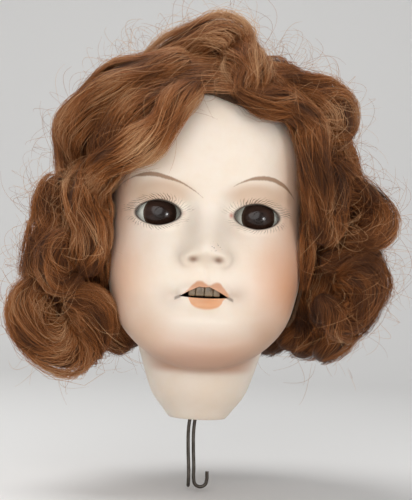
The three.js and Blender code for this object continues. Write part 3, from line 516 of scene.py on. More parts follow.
class Paint:
    """A material that is being mixed."""

    def __init__(self, name, roughness=0.5, **fixed):
        self.material = bpy.data.materials.new(f"doll {name}")
        self.material.use_nodes = True
        self.nodes = self.material.node_tree.nodes
        self.links = self.material.node_tree.links
        self.shader = self.nodes["Principled BSDF"]
        self.shader.inputs["Roughness"].default_value = roughness
        for key, value in fixed.items():
            self.shader.inputs[key.replace("_", " ")].default_value = value

    def node(self, kind, settings=None, inputs=(), output=0):
        """One output of a new node, whose settings are made before its inputs."""
        made = self.nodes.new(kind)
        for key, value in (settings or {}).items():
            if key == "ramp":
                self.set_ramp(made.color_ramp, value)
            elif key == "curve":
                self.set_curve(made.mapping, value)
            else:
                setattr(made, key, value)
        pairs = inputs.items() if isinstance(inputs, dict) else enumerate(inputs)
        for key, value in pairs:
            self.feed(made.inputs[key], value)
        return Value(self, made.outputs[output])

    def feed(self, socket, value):
        if isinstance(value, Value):
            self.links.new(value.socket, socket)
        else:
            socket.default_value = value

    @staticmethod
    def set_ramp(ramp, stops):
        while len(ramp.elements) < len(stops):
            ramp.elements.new(0.5)
        for element, (place, color) in zip(ramp.elements, stops):
            element.position, element.color = place, (*color, 1)

    @staticmethod
    def set_curve(mapping, points):
        curve = mapping.curves[0]
        while len(curve.points) < len(points):
            curve.points.new(0.5, 0.5)
        for point, (x, y) in zip(curve.points, points):
            point.location = (x, y)
        mapping.update()

    def where(self):
        """Place on the piece, in millimetres."""
        place = self.node("ShaderNodeTexCoord", None, (), "Object")
        return self.node("ShaderNodeVectorMath", {"operation": "SCALE"}, {0: place, 3: 1 / MM})

    def place(self):
        """Place on the piece, in millimetres, as a vector and its three parts."""
        where = self.where()
        parts = [self.node("ShaderNodeSeparateXYZ", None, [where], i) for i in range(3)]
        return where, *parts

    def noise(self, where, scale, detail=3.0, roughness=0.5, stretch=None):
        """Cloudy noise, as so many patches to a millimetre, stretched along the axes."""
        if stretch:
            where = self.node("ShaderNodeVectorMath", {"operation": "MULTIPLY"}, [where, stretch])
        return self.node("ShaderNodeTexNoise", None, {
            "Vector": where, "Scale": scale, "Detail": detail, "Roughness": roughness})

    def mix(self, mask, first, second):
        """The first colour where the mask is 0 and the second where it is 1."""
        colours = [each if isinstance(each, Value) else (*each, 1) for each in (first, second)]
        return self.node("ShaderNodeMix", {"data_type": "RGBA"}, {0: mask, 6: colours[0], 7: colours[1]}, 2)

    def graph(self, value, points):
        """A value read off a drawn curve, which is stretched to the square that the node draws in."""
        low, high = min(p[0] for p in points), max(p[0] for p in points)
        bottom, top = min(p[1] for p in points), max(p[1] for p in points)
        span, rise = high - low, max(top - bottom, 1e-6)
        drawn = [((x - low) / span, (y - bottom) / rise) for x, y in sorted(points)]
        read = self.node("ShaderNodeFloatCurve", {"curve": drawn}, {1: ((value - low) / span).clipped()})
        return read * rise + bottom

    def bump(self, height, depth):
        """A relief whose depth is given in millimetres."""
        inputs = {"Height": height, "Distance": depth * MM, "Strength": 1.0}
        self.feed(self.shader.inputs["Normal"], self.node("ShaderNodeBump", None, inputs))

    def done(self, color, roughness=None):
        """The material, once its colour and roughness are fed in."""
        self.feed(self.shader.inputs["Base Color"], color)
        if roughness is not None:
            self.feed(self.shader.inputs["Roughness"], roughness)
        return self.material


def srgb(code):
    """A colour code as linear parts."""
    parts = [int(code[i:i + 2], 16) / 255 for i in (0, 2, 4)]
    return tuple(p / 12.92 if p <= 0.04045 else ((p + 0.055) / 1.055) ** 2.4 for p in parts)


def toned(colour, *shares):
    """A colour with each part multiplied by its share."""
    return tuple(part * share for part, share in zip(colour, shares))


# Painted lines of the face, in millimetres in X and Z. Each brow also has its weight along the line.

BROWS = (
    ([(-24.8, 63.9), (-21.9, 66), (-18.5, 67), (-15.2, 67.1), (-11.9, 66.4), (-8.5, 65.4), (-5.2, 63.8),
      (-1.5, 61.2)],
     [(0, 0.08), (0.18, 0.3), (0.36, 1), (0.52, 0.95), (0.72, 0.5), (1, 0.08)]),
    ([(6.6, 64.6), (9.4, 66.1), (12.7, 67.1), (16.1, 67.3), (19.7, 66.3), (22.4, 64.4), (23.8, 62.7)],
     [(0, 0.08), (0.25, 0.6), (0.45, 1), (0.75, 1), (0.93, 0.5), (1, 0.1)]),
)
LIP_TOP = [(-6.4, 34.9), (-5.4, 35.5), (-4.2, 36.7), (-2.7, 38.2), (-1.3, 38.9), (0.3, 38.2), (1.3, 37.8),
           (2.4, 38.3), (3.5, 38.6), (4.9, 37.5), (6.2, 36), (7.3, 34.9)]
LIP_BOTTOM = [(-6.4, 34.9), (-4.6, 34.6), (-3.9, 33.5), (-2.9, 32.2), (-1.2, 31.5), (0.9, 31.3), (3.1, 31.7),
              (4.6, 32.7), (5.3, 34), (6.2, 34.6), (7.3, 34.8)]


# Soft tints of the face, among them painted shadow and shade: middle and spread in X and Z, strength and
# colour

FACE_TINTS_AND_SHADES = [
    ((18, 42), (9, 13), 0.3, "d9a27c"),
    # Painted shadow under the chin, where it meets the neck
    ((0, 17), (21, 4), 0.38, "8f6a58"),
    # Painted shade beside the hair on the forehead and at the right temple, warm as if lit by light thrown
    # back off the hair
    ((-15, 74), (8, 8), 0.2, "d8b088"),
    ((24, 69), (6, 12), 0.3, "dcae88"),
    ((-25, 37), (7, 14), 0.5, "f6be98"),
    ((-16, 25), (8, 6.5), 0.58, "be9272"),
    ((18, 24), (8, 7), 0.72, "a97f62"),
    # Painted shade under the jaw, to the right of the chin
    ((10, 19.5), (7, 4), 0.3, "a98066"),
    # Painted shade in the dimples at the corners of the mouth
    ((-9.5, 34.5), (3.5, 3), 0.3, "b08f78"),
    ((8.8, 35.5), (3.2, 2.6), 0.35, "a58069"),
    # Painted shade at the inner corner of the right eye, beside the nose
    ((7.5, 53.5), (3.2, 3.5), 0.28, "a98a72"),
]


def line_mask(paint, x, z, fine, line, weights):
    """A painted line with ragged edges, as wide as its weights say."""
    low, high = line[0][0], line[-1][0]
    along = ((x - low) / (high - low)).clipped()
    weight = paint.graph(along, weights) * 0.58
    off = abs(z - paint.graph(x, line)) + (fine - 0.5) * 0.35
    inside = x.between(low - 0.3, low + 0.3) * (1 - x.between(high - 0.3, high + 0.3))
    return inside * (1 - (off - weight).between(-0.25, 0.2))


def lash_masks(x, z, side, fine):
    """Painted lashes round one eye, and the dark line at the edge of its opening, partly a painted lid line
    and partly painted shade at the rim.
    """
    dx = (x - side * EYE_SPACING / 2) / (EYE_WIDTH / 2)
    dz = (z - EYE_HEIGHT) / (0.47 * EYE_OPENING)
    far = (abs(dx) ** 1.6 + dz * dz) ** 0.5
    angle = dz.math("ARCTAN2", dx)
    strokes = ((angle + (far - 1) * (0.5 * side) + fine * 0.16) * 52).math("SINE").between(0.3, 0.95)
    reach = far + (fine - 0.5) * 0.5
    outer = 1 - 0.6 * (dx * -side).between(0.4, 0.9)
    upper = outer * dz.between(0.0, 0.3) * (1 - reach.between(1.3, 1.6)) * far.between(1.0, 1.06)
    lower = (1 - dz.between(-0.5, -0.2)) * (1 - reach.between(1.2, 1.5)) * far.between(1.08, 1.16)
    return strokes * (upper * 0.95 + lower * 0.6), (far - 1.0).bell(0.07)


def spot(x, z, place, spread):
    """1 at a place of the face, falling softly to 0 round it."""
    return ((((x - place[0]) / spread[0]) ** 2 + ((z - place[1]) / spread[1]) ** 2) * -1).math("EXPONENT")


def bisque_paint(look):
    """Fired bisque with its painted face, and painted shade and shadow on it."""
    paint = Paint("bisque", 0.42, Subsurface_Weight=0.12, Subsurface_Scale=0.002,
                  Subsurface_Radius=(1.0, 0.45, 0.25), Specular_IOR_Level=0.4)
    where, x, y, z = paint.place()
    mottle = paint.noise(where, 0.09, 4, 0.6)
    fine = paint.noise(where, 1.8, 4, 0.65)
    face = 1 - y.between(-14, -4)
    aged = toned(look.bisque_colour, 0.97, 0.94, 0.9)
    color = paint.mix(mottle.between(0.35, 0.7), look.bisque_colour, aged)

    def tint(mask, strength, code):
        return paint.mix(mask * face * strength, color, srgb(code))

    # Blush on the cheeks, painted stronger on the right cheek as painted shade on the side away from the
    # light
    cheeks = (((abs(x) - 24.5) / 10) ** 2 + ((z - 39) / 15) ** 2) ** 0.5
    blush_and_side_shade = (1 - cheeks.between(0, 1.5)) * (0.75 + 0.4 * mottle) * (0.28 + 0.54 * x.between(-5, 5))
    color = tint(blush_and_side_shade, 1, "dd9668")
    # Warm painted shade at the temples beside the hair, as if lit by light thrown back off the hair
    temple_painted_shade = abs(x).between(17, 26) * z.between(46, 58)
    color = tint(temple_painted_shade, 0.6, "dfa278")
    # Painted shade under the jaw and the chin
    under_jaw_shade_reach = ((x / 25) ** 2 + ((z - 15) / 9.5) ** 2) ** 0.5
    color = tint((1 - under_jaw_shade_reach.between(0.35, 1.45)) * z.between(12.5, 15), 0.72, "c08c6e")
    # The neck below the chin is painted darker: painted shade under the head
    neck = 1 - z.between(6, 16)
    color = tint(neck, 0.4, "c7b19c")
    for middle, spread, strength, code in FACE_TINTS_AND_SHADES:
        color = tint(spot(x, z, middle, spread), strength, code)
    lids = (((abs(x) - 13.5) / 9.5) ** 2 + ((z - 62.4) / 4) ** 2) ** 0.5
    color = tint(1 - lids.between(0.45, 1.2), 0.6, "bf9876")
    for line, weights in BROWS:
        hairs = paint.noise(where, 3.0, 2, 0.5, (1.0, 1.0, 0.4))
        color = tint(line_mask(paint, x, z, hairs, line, weights), 0.85, "916c4e")
    for side in (-1, 1):
        strokes, edge = lash_masks(x, z, side, paint.noise(where, 0.9, 2, 0.5))
        near = (side * x).between(2, 4)
        color = tint(strokes * near, 0.95, "67503f")
        # Dark line at the edge of each opening: painted lid line, and painted shade where the rim stands in
        # front of the glass
        color = tint(edge * near, 0.95, "33261f")
        inner_corner = spot(x, z, (side * 6.4, 57), (0.55, 0.75))
        color = tint(inner_corner, 0.5 + 0.25 * side, "a04a32")
        nostril = spot(x, z, (side * 3.4, 44.5), (1.3, 0.85))
        color = tint(nostril, 0.85, "8a6550")
        # Painted shade in the crease round the lower part of each wing of the nose
        wing_crease_shade = ((((x - side * 4.7) / 2.4) ** 2 + ((z - 44.9) / 2.4) ** 2) ** 0.5 - 1).bell(0.22)
        color = tint(wing_crease_shade * (side * x).between(3.5, 6.5) * (1 - z.between(44, 47.5)), 0.22, "9c846f")
        # Dark line painted at each corner of the mouth: painted shade in the crease where the lips meet
        mouth_corner_shade_line = [(side * 7.9, 33.9), (side * 6.2, 34.7)][::-side]
        color = tint(line_mask(paint, x, z, fine, mouth_corner_shade_line, [(0, 0.75), (1, 0.75)]), 0.6, "5b4c43")
    above = (z - paint.graph(x, LIP_BOTTOM)).between(-0.4, 0.35)
    below = 1 - (z - paint.graph(x, LIP_TOP)).between(-0.45, 0.4)
    lips = above * below * x.between(-6.6, -5) * (1 - x.between(5.9, 7.5))
    lip = paint.mix(z.between(34, 36.5), look.lip_colour, toned(look.lip_colour, 0.86, 0.88, 1.1))
    color = paint.mix(lips * face * (0.8 + 0.3 * (mottle - 0.5)), color, lip)
    specks = paint.noise(where, 2.2, 0, 0.5).between(0.68, 0.74) * spot(x, z, (2.4, 48), (1.3, 0.9))
    color = tint(specks, 1.2, "4b4440")
    paint.bump(fine * 0.6 + paint.noise(where, 0.35, 3, 0.5) * 1.5, 0.04)
    return paint.done(color, 0.4 + 0.16 * fine)


def hair_paint(look, name, streaks=False):
    """Mohair, coloured by the tint of each strand, which carries painted light and shade, or by streaks along
    a surface, kept darker as painted shade under the strands.
    """
    paint = Paint(name, 0.5, Specular_IOR_Level=0.5, Specular_Tint=(1.0, 0.84, 0.68, 1.0))
    cloud = paint.noise(paint.where(), 0.07, 3, 0.55)
    if streaks:
        uv = paint.node("ShaderNodeTexCoord", None, (), "UV")
        tint = paint.noise(uv, 1.0, 4, 0.7, (110.0, 4.0, 1.0)).between(0.3, 0.75)
        paint.bump(tint, 0.5)
        # The bodies under the strands stay darker: painted shade in the depth of the hair
        shade = (tint * 0.36 + cloud * 0.2 - 0.1).clipped()
    else:
        tint = paint.node("ShaderNodeAttribute", {"attribute_name": "tint"}, (), "Fac")
        shade = (tint * 0.8 + cloud * 0.4 - 0.1).clipped()
    color = paint.node("ShaderNodeValToRGB", {"ramp": [
        (0.05, look.hair_dark), (0.45, look.hair_colour), (0.95, look.hair_light)]}, [shade])
    return paint.done(color)


# Plain finishes: two colours, how fine the mottling is, roughness, depth of the relief in millimetres,
# how the grain is stretched along each axis, and fixed values of the shader

PLAIN_FINISHES = {
    "eye_glass": ("eeefe4", "dcddd2", 0.3, 0.12, 0, None, {"Coat_Weight": 1.0, "Coat_Roughness": 0.03}),
    "teeth": ("87785f", "695b46", 0.9, 0.25, 0.01, None, {"Coat_Weight": 0.4}),
    "eyelid_wax": ("e6c6b0", "dab59c", 0.35, 0.45, 0.03, None, {}),
    "plaster": ("dcd6c8", "c5bdac", 0.5, 0.85, 0.12, None, {}),
    # The rims' plaster is darker than the seats' plaster: painted shade in the eye sockets
    "rim_plaster": ("a39482", "85776a", 0.5, 0.85, 0.12, None, {}),
    "steel_wire": ("5a544d", "3d3630", 1.2, 0.42, 0.02, (1, 1, 0.3), {"Metallic": 0.85}),
    "lead": ("75777a", "5b5d60", 0.4, 0.6, 0.08, None, {"Metallic": 0.8}),
    "cork": ("b1834f", "77502c", 1.1, 0.9, 0.2, None, {}),
    "wood": ("bd9059", "99693a", 0.9, 0.6, 0.08, (1, 1, 0.12), {}),
    "card": ("a98d68", "8e7350", 0.7, 0.9, 0.08, None, {}),
    "cap_cloth": ("6f4f35", "523822", 2.2, 0.9, 0.2, None, {}),
}


def plain_paint(name):
    """A finish mottled between two colours."""
    first, second, scale, roughness, depth, grain, fixed = PLAIN_FINISHES[name]
    paint = Paint(name.replace("_", " "), roughness, **fixed)
    where = paint.where()
    patch = paint.noise(where, scale, 4, 0.6, grain)
    fine = paint.noise(where, scale * 7, 3, 0.6, grain)
    paint.bump(fine + patch * 0.5, depth)
    color = paint.mix(patch.between(0.35, 0.68), srgb(first), srgb(second))
    return paint.done(color, (roughness - 0.08) + 0.16 * fine)


def iris_paint(look, name):
    """Brown glass with rays, round the middle of either iris."""
    paint = Paint(name, 0.2, Coat_Weight=0.3, Coat_Roughness=0.08, Specular_IOR_Level=0.15)
    _, x, _, z = paint.place()
    dx, dz = abs(x - EYE_RADIUS * math.sin(GAZE)) - EYE_SPACING / 2, z - EYE_HEIGHT
    out = (dx * dx + dz * dz) ** 0.5
    angle = dz.math("ARCTAN2", dx)
    rays = paint.node("ShaderNodeCombineXYZ", None, [angle * 9, out * 0.7, 0.0])
    rays = paint.noise(rays, 1.0, 3, 0.6)
    color = paint.mix(rays.between(0.35, 0.7), look.iris_colour, toned(look.iris_colour, 1.9, 1.9, 1.9))
    # The upper part of the iris is painted lighter: a painted reflection
    color = paint.mix(dz.between(-1.5, 3.5) * 0.6, color, srgb("46342d"))
    color = paint.mix(out.between(3.9, 4.6) * 0.4, color, srgb("6b5a4c"))
    color = paint.mix((1 - out.between(0.5, 3.0)) * 0.75, color, srgb("150c08"))
    return paint.done(color)


def backdrop_paint():
    """Pale finish of the floor and backdrop, faintly mottled."""
    paint = Paint("backdrop", 0.9)
    where = paint.node("ShaderNodeTexCoord", None, (), "Object")
    return paint.done(paint.mix(paint.noise(where, 1.5, 2, 0.5), (0.83, 0.82, 0.8), (0.86, 0.85, 0.835)))


MIXED = {}


def paint_named(name):
    """A material of the head. All of them are mixed when the first one is asked for."""
    if not MIXED:
        look = bpy.context.scene.doll_look
        MIXED.update({
            "bisque": bisque_paint(look),
            "mohair": hair_paint(look, "mohair"),
            "mohair_under": hair_paint(look, "mohair under", True),
            "iris_glass": iris_paint(look, "iris glass"),
            "pupil_glass": iris_paint(look, "pupil glass"),
            "backdrop": backdrop_paint(),
        })
        MIXED.update({each: plain_paint(each) for each in PLAIN_FINISHES})
    return MIXED[name]


# Openings of the head

def eye_outline(middle, grow=1.0, steps=14):
    """Almond of an eye opening, of two bent curves from corner to corner."""
    w, h = EYE_WIDTH / 2 * grow, EYE_OPENING / 2 * grow
    corners = [[(-w, 0), (-0.72 * w, 1.25 * h), (0.72 * w, 1.25 * h), (w, 0)],
               [(w, 0), (0.72 * w, -1.25 * h), (-0.72 * w, -1.25 * h), (-w, 0)]]
    points = []
    for ends in corners:
        for i in range(steps):
            t = i / steps
            k = (1 - t) ** 3, 3 * t * (1 - t) ** 2, 3 * t * t * (1 - t), t ** 3
            points.append((middle + sum(q * p[0] for q, p in zip(k, ends)),
                           EYE_HEIGHT + sum(q * p[1] for q, p in zip(k, ends))))
    return points


def mouth_outline(steps=8):
    """Outline of the open mouth, round its bow."""
    w, h, z = MOUTH_WIDTH / 2, MOUTH_OPENING / 2, MOUTH_HEIGHT
    stops = [(-w, z - 0.8 * h), (-0.66 * w, z + 0.15 * h), (-0.2 * w, z + h), (0, z + 0.8 * h),
             (0.2 * w, z + h), (0.66 * w, z + 0.15 * h), (w, z - 0.8 * h), (0.5 * w, z - h),
             (0, z - h), (-0.5 * w, z - h), (-w, z - 0.8 * h)]
    points = []
    for a, b, c in zip(stops[::2], stops[1::2], stops[2::2]):
        for i in range(steps):
            t = i / steps
            points.append(tuple(p * (1 - t) ** 2 + 2 * q * t * (1 - t) + r * t * t
                                for p, q, r in zip(a, b, c)))
    return points


def colour_setting(name, description, code):
    """A colour that the user may change."""
    return FloatVectorProperty(
        name=name, description=description, subtype="COLOR", size=3, default=srgb(code))


class DollHeadLook(bpy.types.PropertyGroup):
    """Colours of the doll head."""

    bisque_colour: colour_setting("Bisque", "Colour of the fired bisque", "ecdfd0")
    lip_colour: colour_setting("Lips", "Colour painted on the lips", "d9945e")
    iris_colour: colour_setting("Iris", "Colour of the brown glass", "25160f")
    hair_colour: colour_setting("Hair", "Middle colour of the mohair", "a2602e")
    hair_dark: colour_setting("Hair shade", "Darkest strands", "3d1d0c")
    hair_light: colour_setting("Hair light", "Lightest strands", "dcb184")


class DollWigSizes(bpy.types.PropertyGroup):
    """Sizes of the mohair wig."""

    strand_radius: FloatProperty(
        name="Strand radius", description="Half the thickness of a tuft of fibres", subtype="DISTANCE",
        unit="LENGTH", default=0.00005, precision=6)
    strands: IntProperty(
        name="Strands", description="Strands on a lock of plain size", default=800, min=20)
    flyaways: IntProperty(
        name="Flyaways", description="Loose fibres that stand off the wig", default=1900, min=0)
    combed: IntProperty(
        name="Combed strands", description="Strands laid over the cap from the parting", default=2000, min=0)


class DOLL_OT_head(bpy.types.Operator):
    """Bisque shell with its features, pierced for the eyes, the mouth, the crown and the hook"""

    bl_idname = "doll.head"
    bl_label = "Bisque head"

    def execute(self, context):
        fine = 4
        rows = [count * fine for count in HEAD_ROWS]
        bm = form(loft, head_points, 60 * fine, rows, 0.4, 0)
        surface = BVHTree.FromBMesh(bm)
        bm = cut(bm, self.inside(BISQUE))
        ends = form(block, CUTTER, CUTTER, CUTTER, (0, 0, -CUTTER / 2))
        above_crown = (Matrix.Translation((0, 0, CROWN_HEIGHT)) @ Matrix.Rotation(-CROWN_TILT, 4, "X")
                       @ Matrix.Translation((0, 0, CUTTER / 2)))
        block(ends, CUTTER, CUTTER, CUTTER, (0, 0, 0), above_crown)
        bm = cut(bm, ends)
        bm = cut(bm, form(bmesh.ops.create_cone, cap_ends=True, segments=64, radius1=NECK_HOLE,
                          radius2=NECK_HOLE, depth=12))
        for side in (-1, 1):
            bm = cut(bm, form(prism, eye_outline(side * EYE_SPACING / 2), BEFORE_FACE, -EYE_SETBACK))
            bm = cut(bm, self.bulb(side, EYE_PLAY))
        bm = cut(bm, form(prism, mouth_outline(), BEFORE_FACE, -FACE_DEPTH / 2))
        finished("head_bisque", bm, "root", "bisque", ("bisque_head",))
        self.lid_rims(surface)
        self.plaster_rims()
        return {"FINISHED"}

    @staticmethod
    def inside(wall):
        """The hollow of the head within a wall."""
        return form(loft, plain_points, 72, [1] * LANDMARKS, 1, -wall)

    @staticmethod
    def bulb(side, play):
        """Room for the glass bulb of one eye."""
        middle = Matrix.Translation((side * EYE_SPACING / 2, -EYE_SETBACK, EYE_HEIGHT))
        return form(ball, 64, 48, EYE_RADIUS + play, middle)

    @staticmethod
    def lid_rims(surface):
        """A thin raised edge round each eye opening, laid on the face."""
        routes = []
        for side in (-1, 1):
            route = []
            for x, z in eye_outline(side * EYE_SPACING / 2, 1.03):
                hit = surface.ray_cast((x, RAY_START, z), (0, 1, 0))[0]
                route.append((x, hit.y + LID_RIM_SINK, z))
            routes.append(route)
        tube("lid_rims", routes, LID_RIM_RADIUS, "root", "bisque", cyclic=True, sides=3)

    def plaster_rims(self):
        """Plaster that closes the gap between the wall and each bulb, round the opening."""
        for name, side in (("left", -1), ("right", 1)):
            middle = side * EYE_SPACING / 2
            bm = form(prism, eye_outline(middle, 1.25), BEFORE_FACE, -EYE_SETBACK - 1)
            bm = cut(bm, self.inside(BISQUE + RIM_SINK), "INTERSECT")
            bm = cut(bm, form(prism, eye_outline(middle, 1.01), BEFORE_FACE - 1, -EYE_SETBACK))
            bm = cut(bm, self.bulb(side, RIM_PLAY))
            finished(f"{name}_plaster_rim", bm, "root", "rim_plaster")


class DOLL_OT_eyes(bpy.types.Operator):
    """Glass eyes with brown irises and wax lids"""

    bl_idname = "doll.eyes"
    bl_label = "Sleeping eyes"

    def execute(self, context):
        for name, side in (("left", -1), ("right", 1)):
            middle = Vector((side * EYE_SPACING / 2, -EYE_SETBACK, EYE_HEIGHT))
            facing = Matrix.Translation(middle) @ Matrix.Rotation(math.pi / 2, 4, "X")
            upright = Matrix.Translation(middle) @ Matrix.Rotation(math.pi / 2, 4, "Y")
            bm = form(ball, 64, 48, EYE_RADIUS, facing)
            finished(f"{name}_glass", bm, "eyes", "eye_glass", (f"{name}_eye",))
            gaze = Vector((math.sin(GAZE), -math.cos(GAZE), 0))
            for part, radius, rise in (("iris", IRIS_RADIUS + IRIS_MARGIN, IRIS_RISE),
                                       ("pupil", PUPIL_RADIUS, PUPIL_RISE)):
                bm = form(ball, 64, 96, EYE_RADIUS + rise, facing)
                self.keep(bm, middle + gaze * math.sqrt((EYE_RADIUS + rise) ** 2 - radius ** 2), -gaze)
                finished(f"{name}_{part}_glass", bm, "eyes", f"{part}_glass", (f"{name}_{part}",))
            bm = form(ball, 64, 96, EYE_RADIUS + LID_RISE, upright)
            low = math.asin(IRIS_RADIUS / EYE_RADIUS) + LID_GAP / EYE_RADIUS
            high = low + LID_SWEEP
            self.keep(bm, middle, (0, -math.sin(low), -math.cos(low)))
            self.keep(bm, middle, (0, math.sin(high), math.cos(high)))
            finished(f"{name}_wax_lid", bm, "eyes", "eyelid_wax", (f"{name}_eyelid",))
        return {"FINISHED"}

    @staticmethod
    def keep(bm, point, away):
        """What lies behind a plane, closed again."""
        geometry = bm.verts[:] + bm.edges[:] + bm.faces[:]
        made = bmesh.ops.bisect_plane(bm, geom=geometry, plane_co=point, plane_no=away, clear_outer=True)
        edges = [e for e in made["geom_cut"] if isinstance(e, bmesh.types.BMEdge)]
        bmesh.ops.holes_fill(bm, edges=edges, sides=0)


class DOLL_OT_teeth(bpy.types.Operator):
    """Four upper teeth behind the lip"""

    bl_idname = "doll.teeth"
    bl_label = "Teeth"

    def execute(self, context):
        low, high = (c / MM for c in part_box("tooth_row"))
        bm = bmesh.new()
        x = low.x
        for width in TOOTH_WIDTHS:
            middle = (x + width / 2, (low.y + high.y) / 2, (low.z + high.z) / 2 + TOOTH_SHIFT)
            part = form(block, width * 0.97, high.y - low.y, high.z - low.z + TOOTH_GROWTH, middle)
            bmesh.ops.bevel(part, geom=part.edges[:], offset=TOOTH_ROUNDING, segments=4, profile=0.5,
                            affect="EDGES", material=-1)
            mesh = mesh_from("tooth", part)
            bm.from_mesh(mesh)
            bpy.data.meshes.remove(mesh)
            x += width
        finished("teeth", bm, "root", "teeth", ("tooth_row",))
        return {"FINISHED"}


class DOLL_OT_hook(bpy.types.Operator):
    """Steel wire hook under the neck"""

    bl_idname = "doll.hook"
    bl_label = "Neck hook"

    def execute(self, context):
        loop, half = PIN_RADIUS + PIN_PLAY + WIRE_RADIUS, LEG_SPACING / 2
        bow_shares = [(0.35, -0.3), (0.8, 0), (1, 0.2), (0.9, 0.5), (0.65, 0.8), (0.55, 1)]
        legs = [(-aside * HOOK_BOW, -level * HOOK_DROP) for aside, level in bow_shares]
        right = [(x + half, 0, z) for x, z in legs]
        left = [(x - half, 0, z) for x, z in legs]
        end_x, end_z = legs[-1]
        for i in range(1, 7):
            angle = math.pi * i / 6
            across, down = HOOK_CURL * (1 - math.cos(angle)), HOOK_CURL * math.sin(angle)
            right.append((end_x + half + across, 0, end_z - down))
            left.append((end_x - half, across, end_z - down))
        right.append((end_x + half + 2 * HOOK_CURL, 0, end_z + HOOK_TIP))
        left.append((end_x - half, 2 * HOOK_CURL, end_z + HOOK_TIP))
        over = [(loop * math.cos(a), 0, PIN_HEIGHT + loop * math.sin(a))
                for a in (math.pi * (-0.15 + 1.3 * i / 6) for i in range(7))]
        tube("hook_wire", [right[::-1] + over + left], WIRE_RADIUS, "hook", "steel_wire", ("neck_hook",))
        return {"FINISHED"}


def lock_course(route, count):
    """Middle line of a lock with the ways along it, across it and out of the head."""
    points = np.array(route) * (WIG_HALF_WIDTH, WIG_DEPTH, WIG_HEIGHT)
    place = np.linspace(0, 1, count)
    centre = spline(points, place)
    run = spline(points, np.minimum(place + 0.01, 1)) - spline(points, np.maximum(place - 0.01, 0))
    run /= np.linalg.norm(run, axis=1, keepdims=True)
    out = centre - (0, 0, EYE_HEIGHT)
    out -= run * (out * run).sum(1, keepdims=True)
    out /= np.linalg.norm(out, axis=1, keepdims=True)
    return centre, run, np.cross(run, out), out


def lock_body(bm, width, depth, route):
    """Closed form under the strands of one lock: a sphere drawn along its route.

    Its faces point inwards, because across, out and along make a mirrored frame.
    """
    verts = ball(bm, 20, 40)
    co = np.array([v.co for v in verts])
    place = np.arccos(np.clip(-co[:, 2], -1, 1)) / math.pi
    along = (1 - np.cos(math.pi * place)) / 2
    centre, _, across, out = lock_course(route, 200)
    k = np.rint(along * 199).astype(int)
    turn = np.arctan2(co[:, 1], co[:, 0])
    blunt = np.sin(math.pi * place) ** 0.8 * LOCK_RADIUS * BODY_SHARE
    at = centre[k] + across[k] * (width * blunt * np.cos(turn))[:, None]
    at += out[k] * (depth * blunt * np.sin(turn))[:, None]
    for v, p in zip(verts, at):
        v.co = p


def wander(rng, count, steps, cycles):
    """Smooth wandering of each strand in three directions, about 1 mm at most."""
    t = np.linspace(0, 1, steps)[None, :, None]
    total = np.zeros((count, steps, 3))
    for octave in (1, 2.3):
        speed = rng.uniform(0.6, 1.4, (count, 1, 3)) * cycles * octave
        total += 0.6 / octave * np.sin(2 * math.pi * (speed * t + rng.uniform(0, 1, (count, 1, 3))))
    return total


def shading(paths):
    """How much lighter each point is painted: painted shade in the hollows and painted highlights on the
    crowns of the waves, at the front of the wig.
    """
    total = np.zeros(paths.shape[:2])
    for x, z, spread, amount in WAVE_PAINTED_SHADES + WAVE_PAINTED_HIGHLIGHTS:
        total += amount * bell(np.hypot(paths[..., 0] - x, paths[..., 2] - z), spread)
    return total * (1 - smooth(0, 12, paths[..., 1]))


def lock_strands(rng, width, depth, route, count, steps=14):
    """Routes of the strands round one lock, gathered in wavy clumps, and how light each one is, with painted
    light and shade.
    """
    centre, _, across, out = lock_course(route, 120)
    waves = np.linalg.norm(np.diff(centre, axis=0), axis=1).sum() / WAVE_LENGTH
    start, stop = rng.uniform(0, 0.14, count), rng.uniform(0.86, 1.0, count)
    s = start[:, None] + (stop - start)[:, None] * np.linspace(0, 1, steps)
    k = np.rint(s * 119).astype(int)
    # Each strand belongs to a clump, which winds round the lock
    clump = rng.integers(0, CLUMPS, count)
    phase = rng.uniform(0, 2 * math.pi, CLUMPS)[clump][:, None]
    middle = (2 * math.pi * np.arange(CLUMPS) / CLUMPS + rng.normal(0, 0.15, CLUMPS))[clump]
    turn = (middle + rng.normal(0, 0.17, count))[:, None] + 0.45 * np.sin(2.2 * math.pi * s + phase)
    turn = turn + rng.uniform(0.6, 1.6) * (s - 0.5)
    # Some clumps stand out as ridges, and a few strands are loose
    loose = np.minimum(rng.exponential(0.17, count), 1.2)[:, None]
    ridge = rng.uniform(-0.09, 0.05, CLUMPS)[clump][:, None] + rng.uniform(-0.06, 0.06, count)[:, None]
    # The waves swell and thin the lock
    band = np.sin(2 * math.pi * waves * s + 0.4 * np.sin(phase) + rng.uniform(0, 6))
    swell = 1 + 0.12 * band
    blunt = np.sin(math.pi * np.arccos(1 - 2 * np.clip(s, 0.004, 0.996)) / math.pi) ** 0.8
    reach = (0.93 + ridge + 0.22 * loose) * swell * (0.15 + 0.85 * blunt) * LOCK_RADIUS
    at = centre[k] + across[k] * (width * reach * np.cos(turn))[..., None]
    at += out[k] * (depth * reach * np.sin(turn))[..., None]
    at += across[k] * (0.5 * np.sin(6 * math.pi * s + phase))[..., None]
    at += wander(rng, count, steps, 1.4) * (0.2 + 1.7 * loose)[..., None]
    # Painted light and shade: strands standing further out, loose ones and the swells of the waves are
    # lighter, those nearer the body darker; the rest varies at random
    tint = 0.42 + 2.4 * ridge + 0.3 * loose + rng.normal(0, 0.15, (count, 1)) + 0.17 * band
    return at, tint


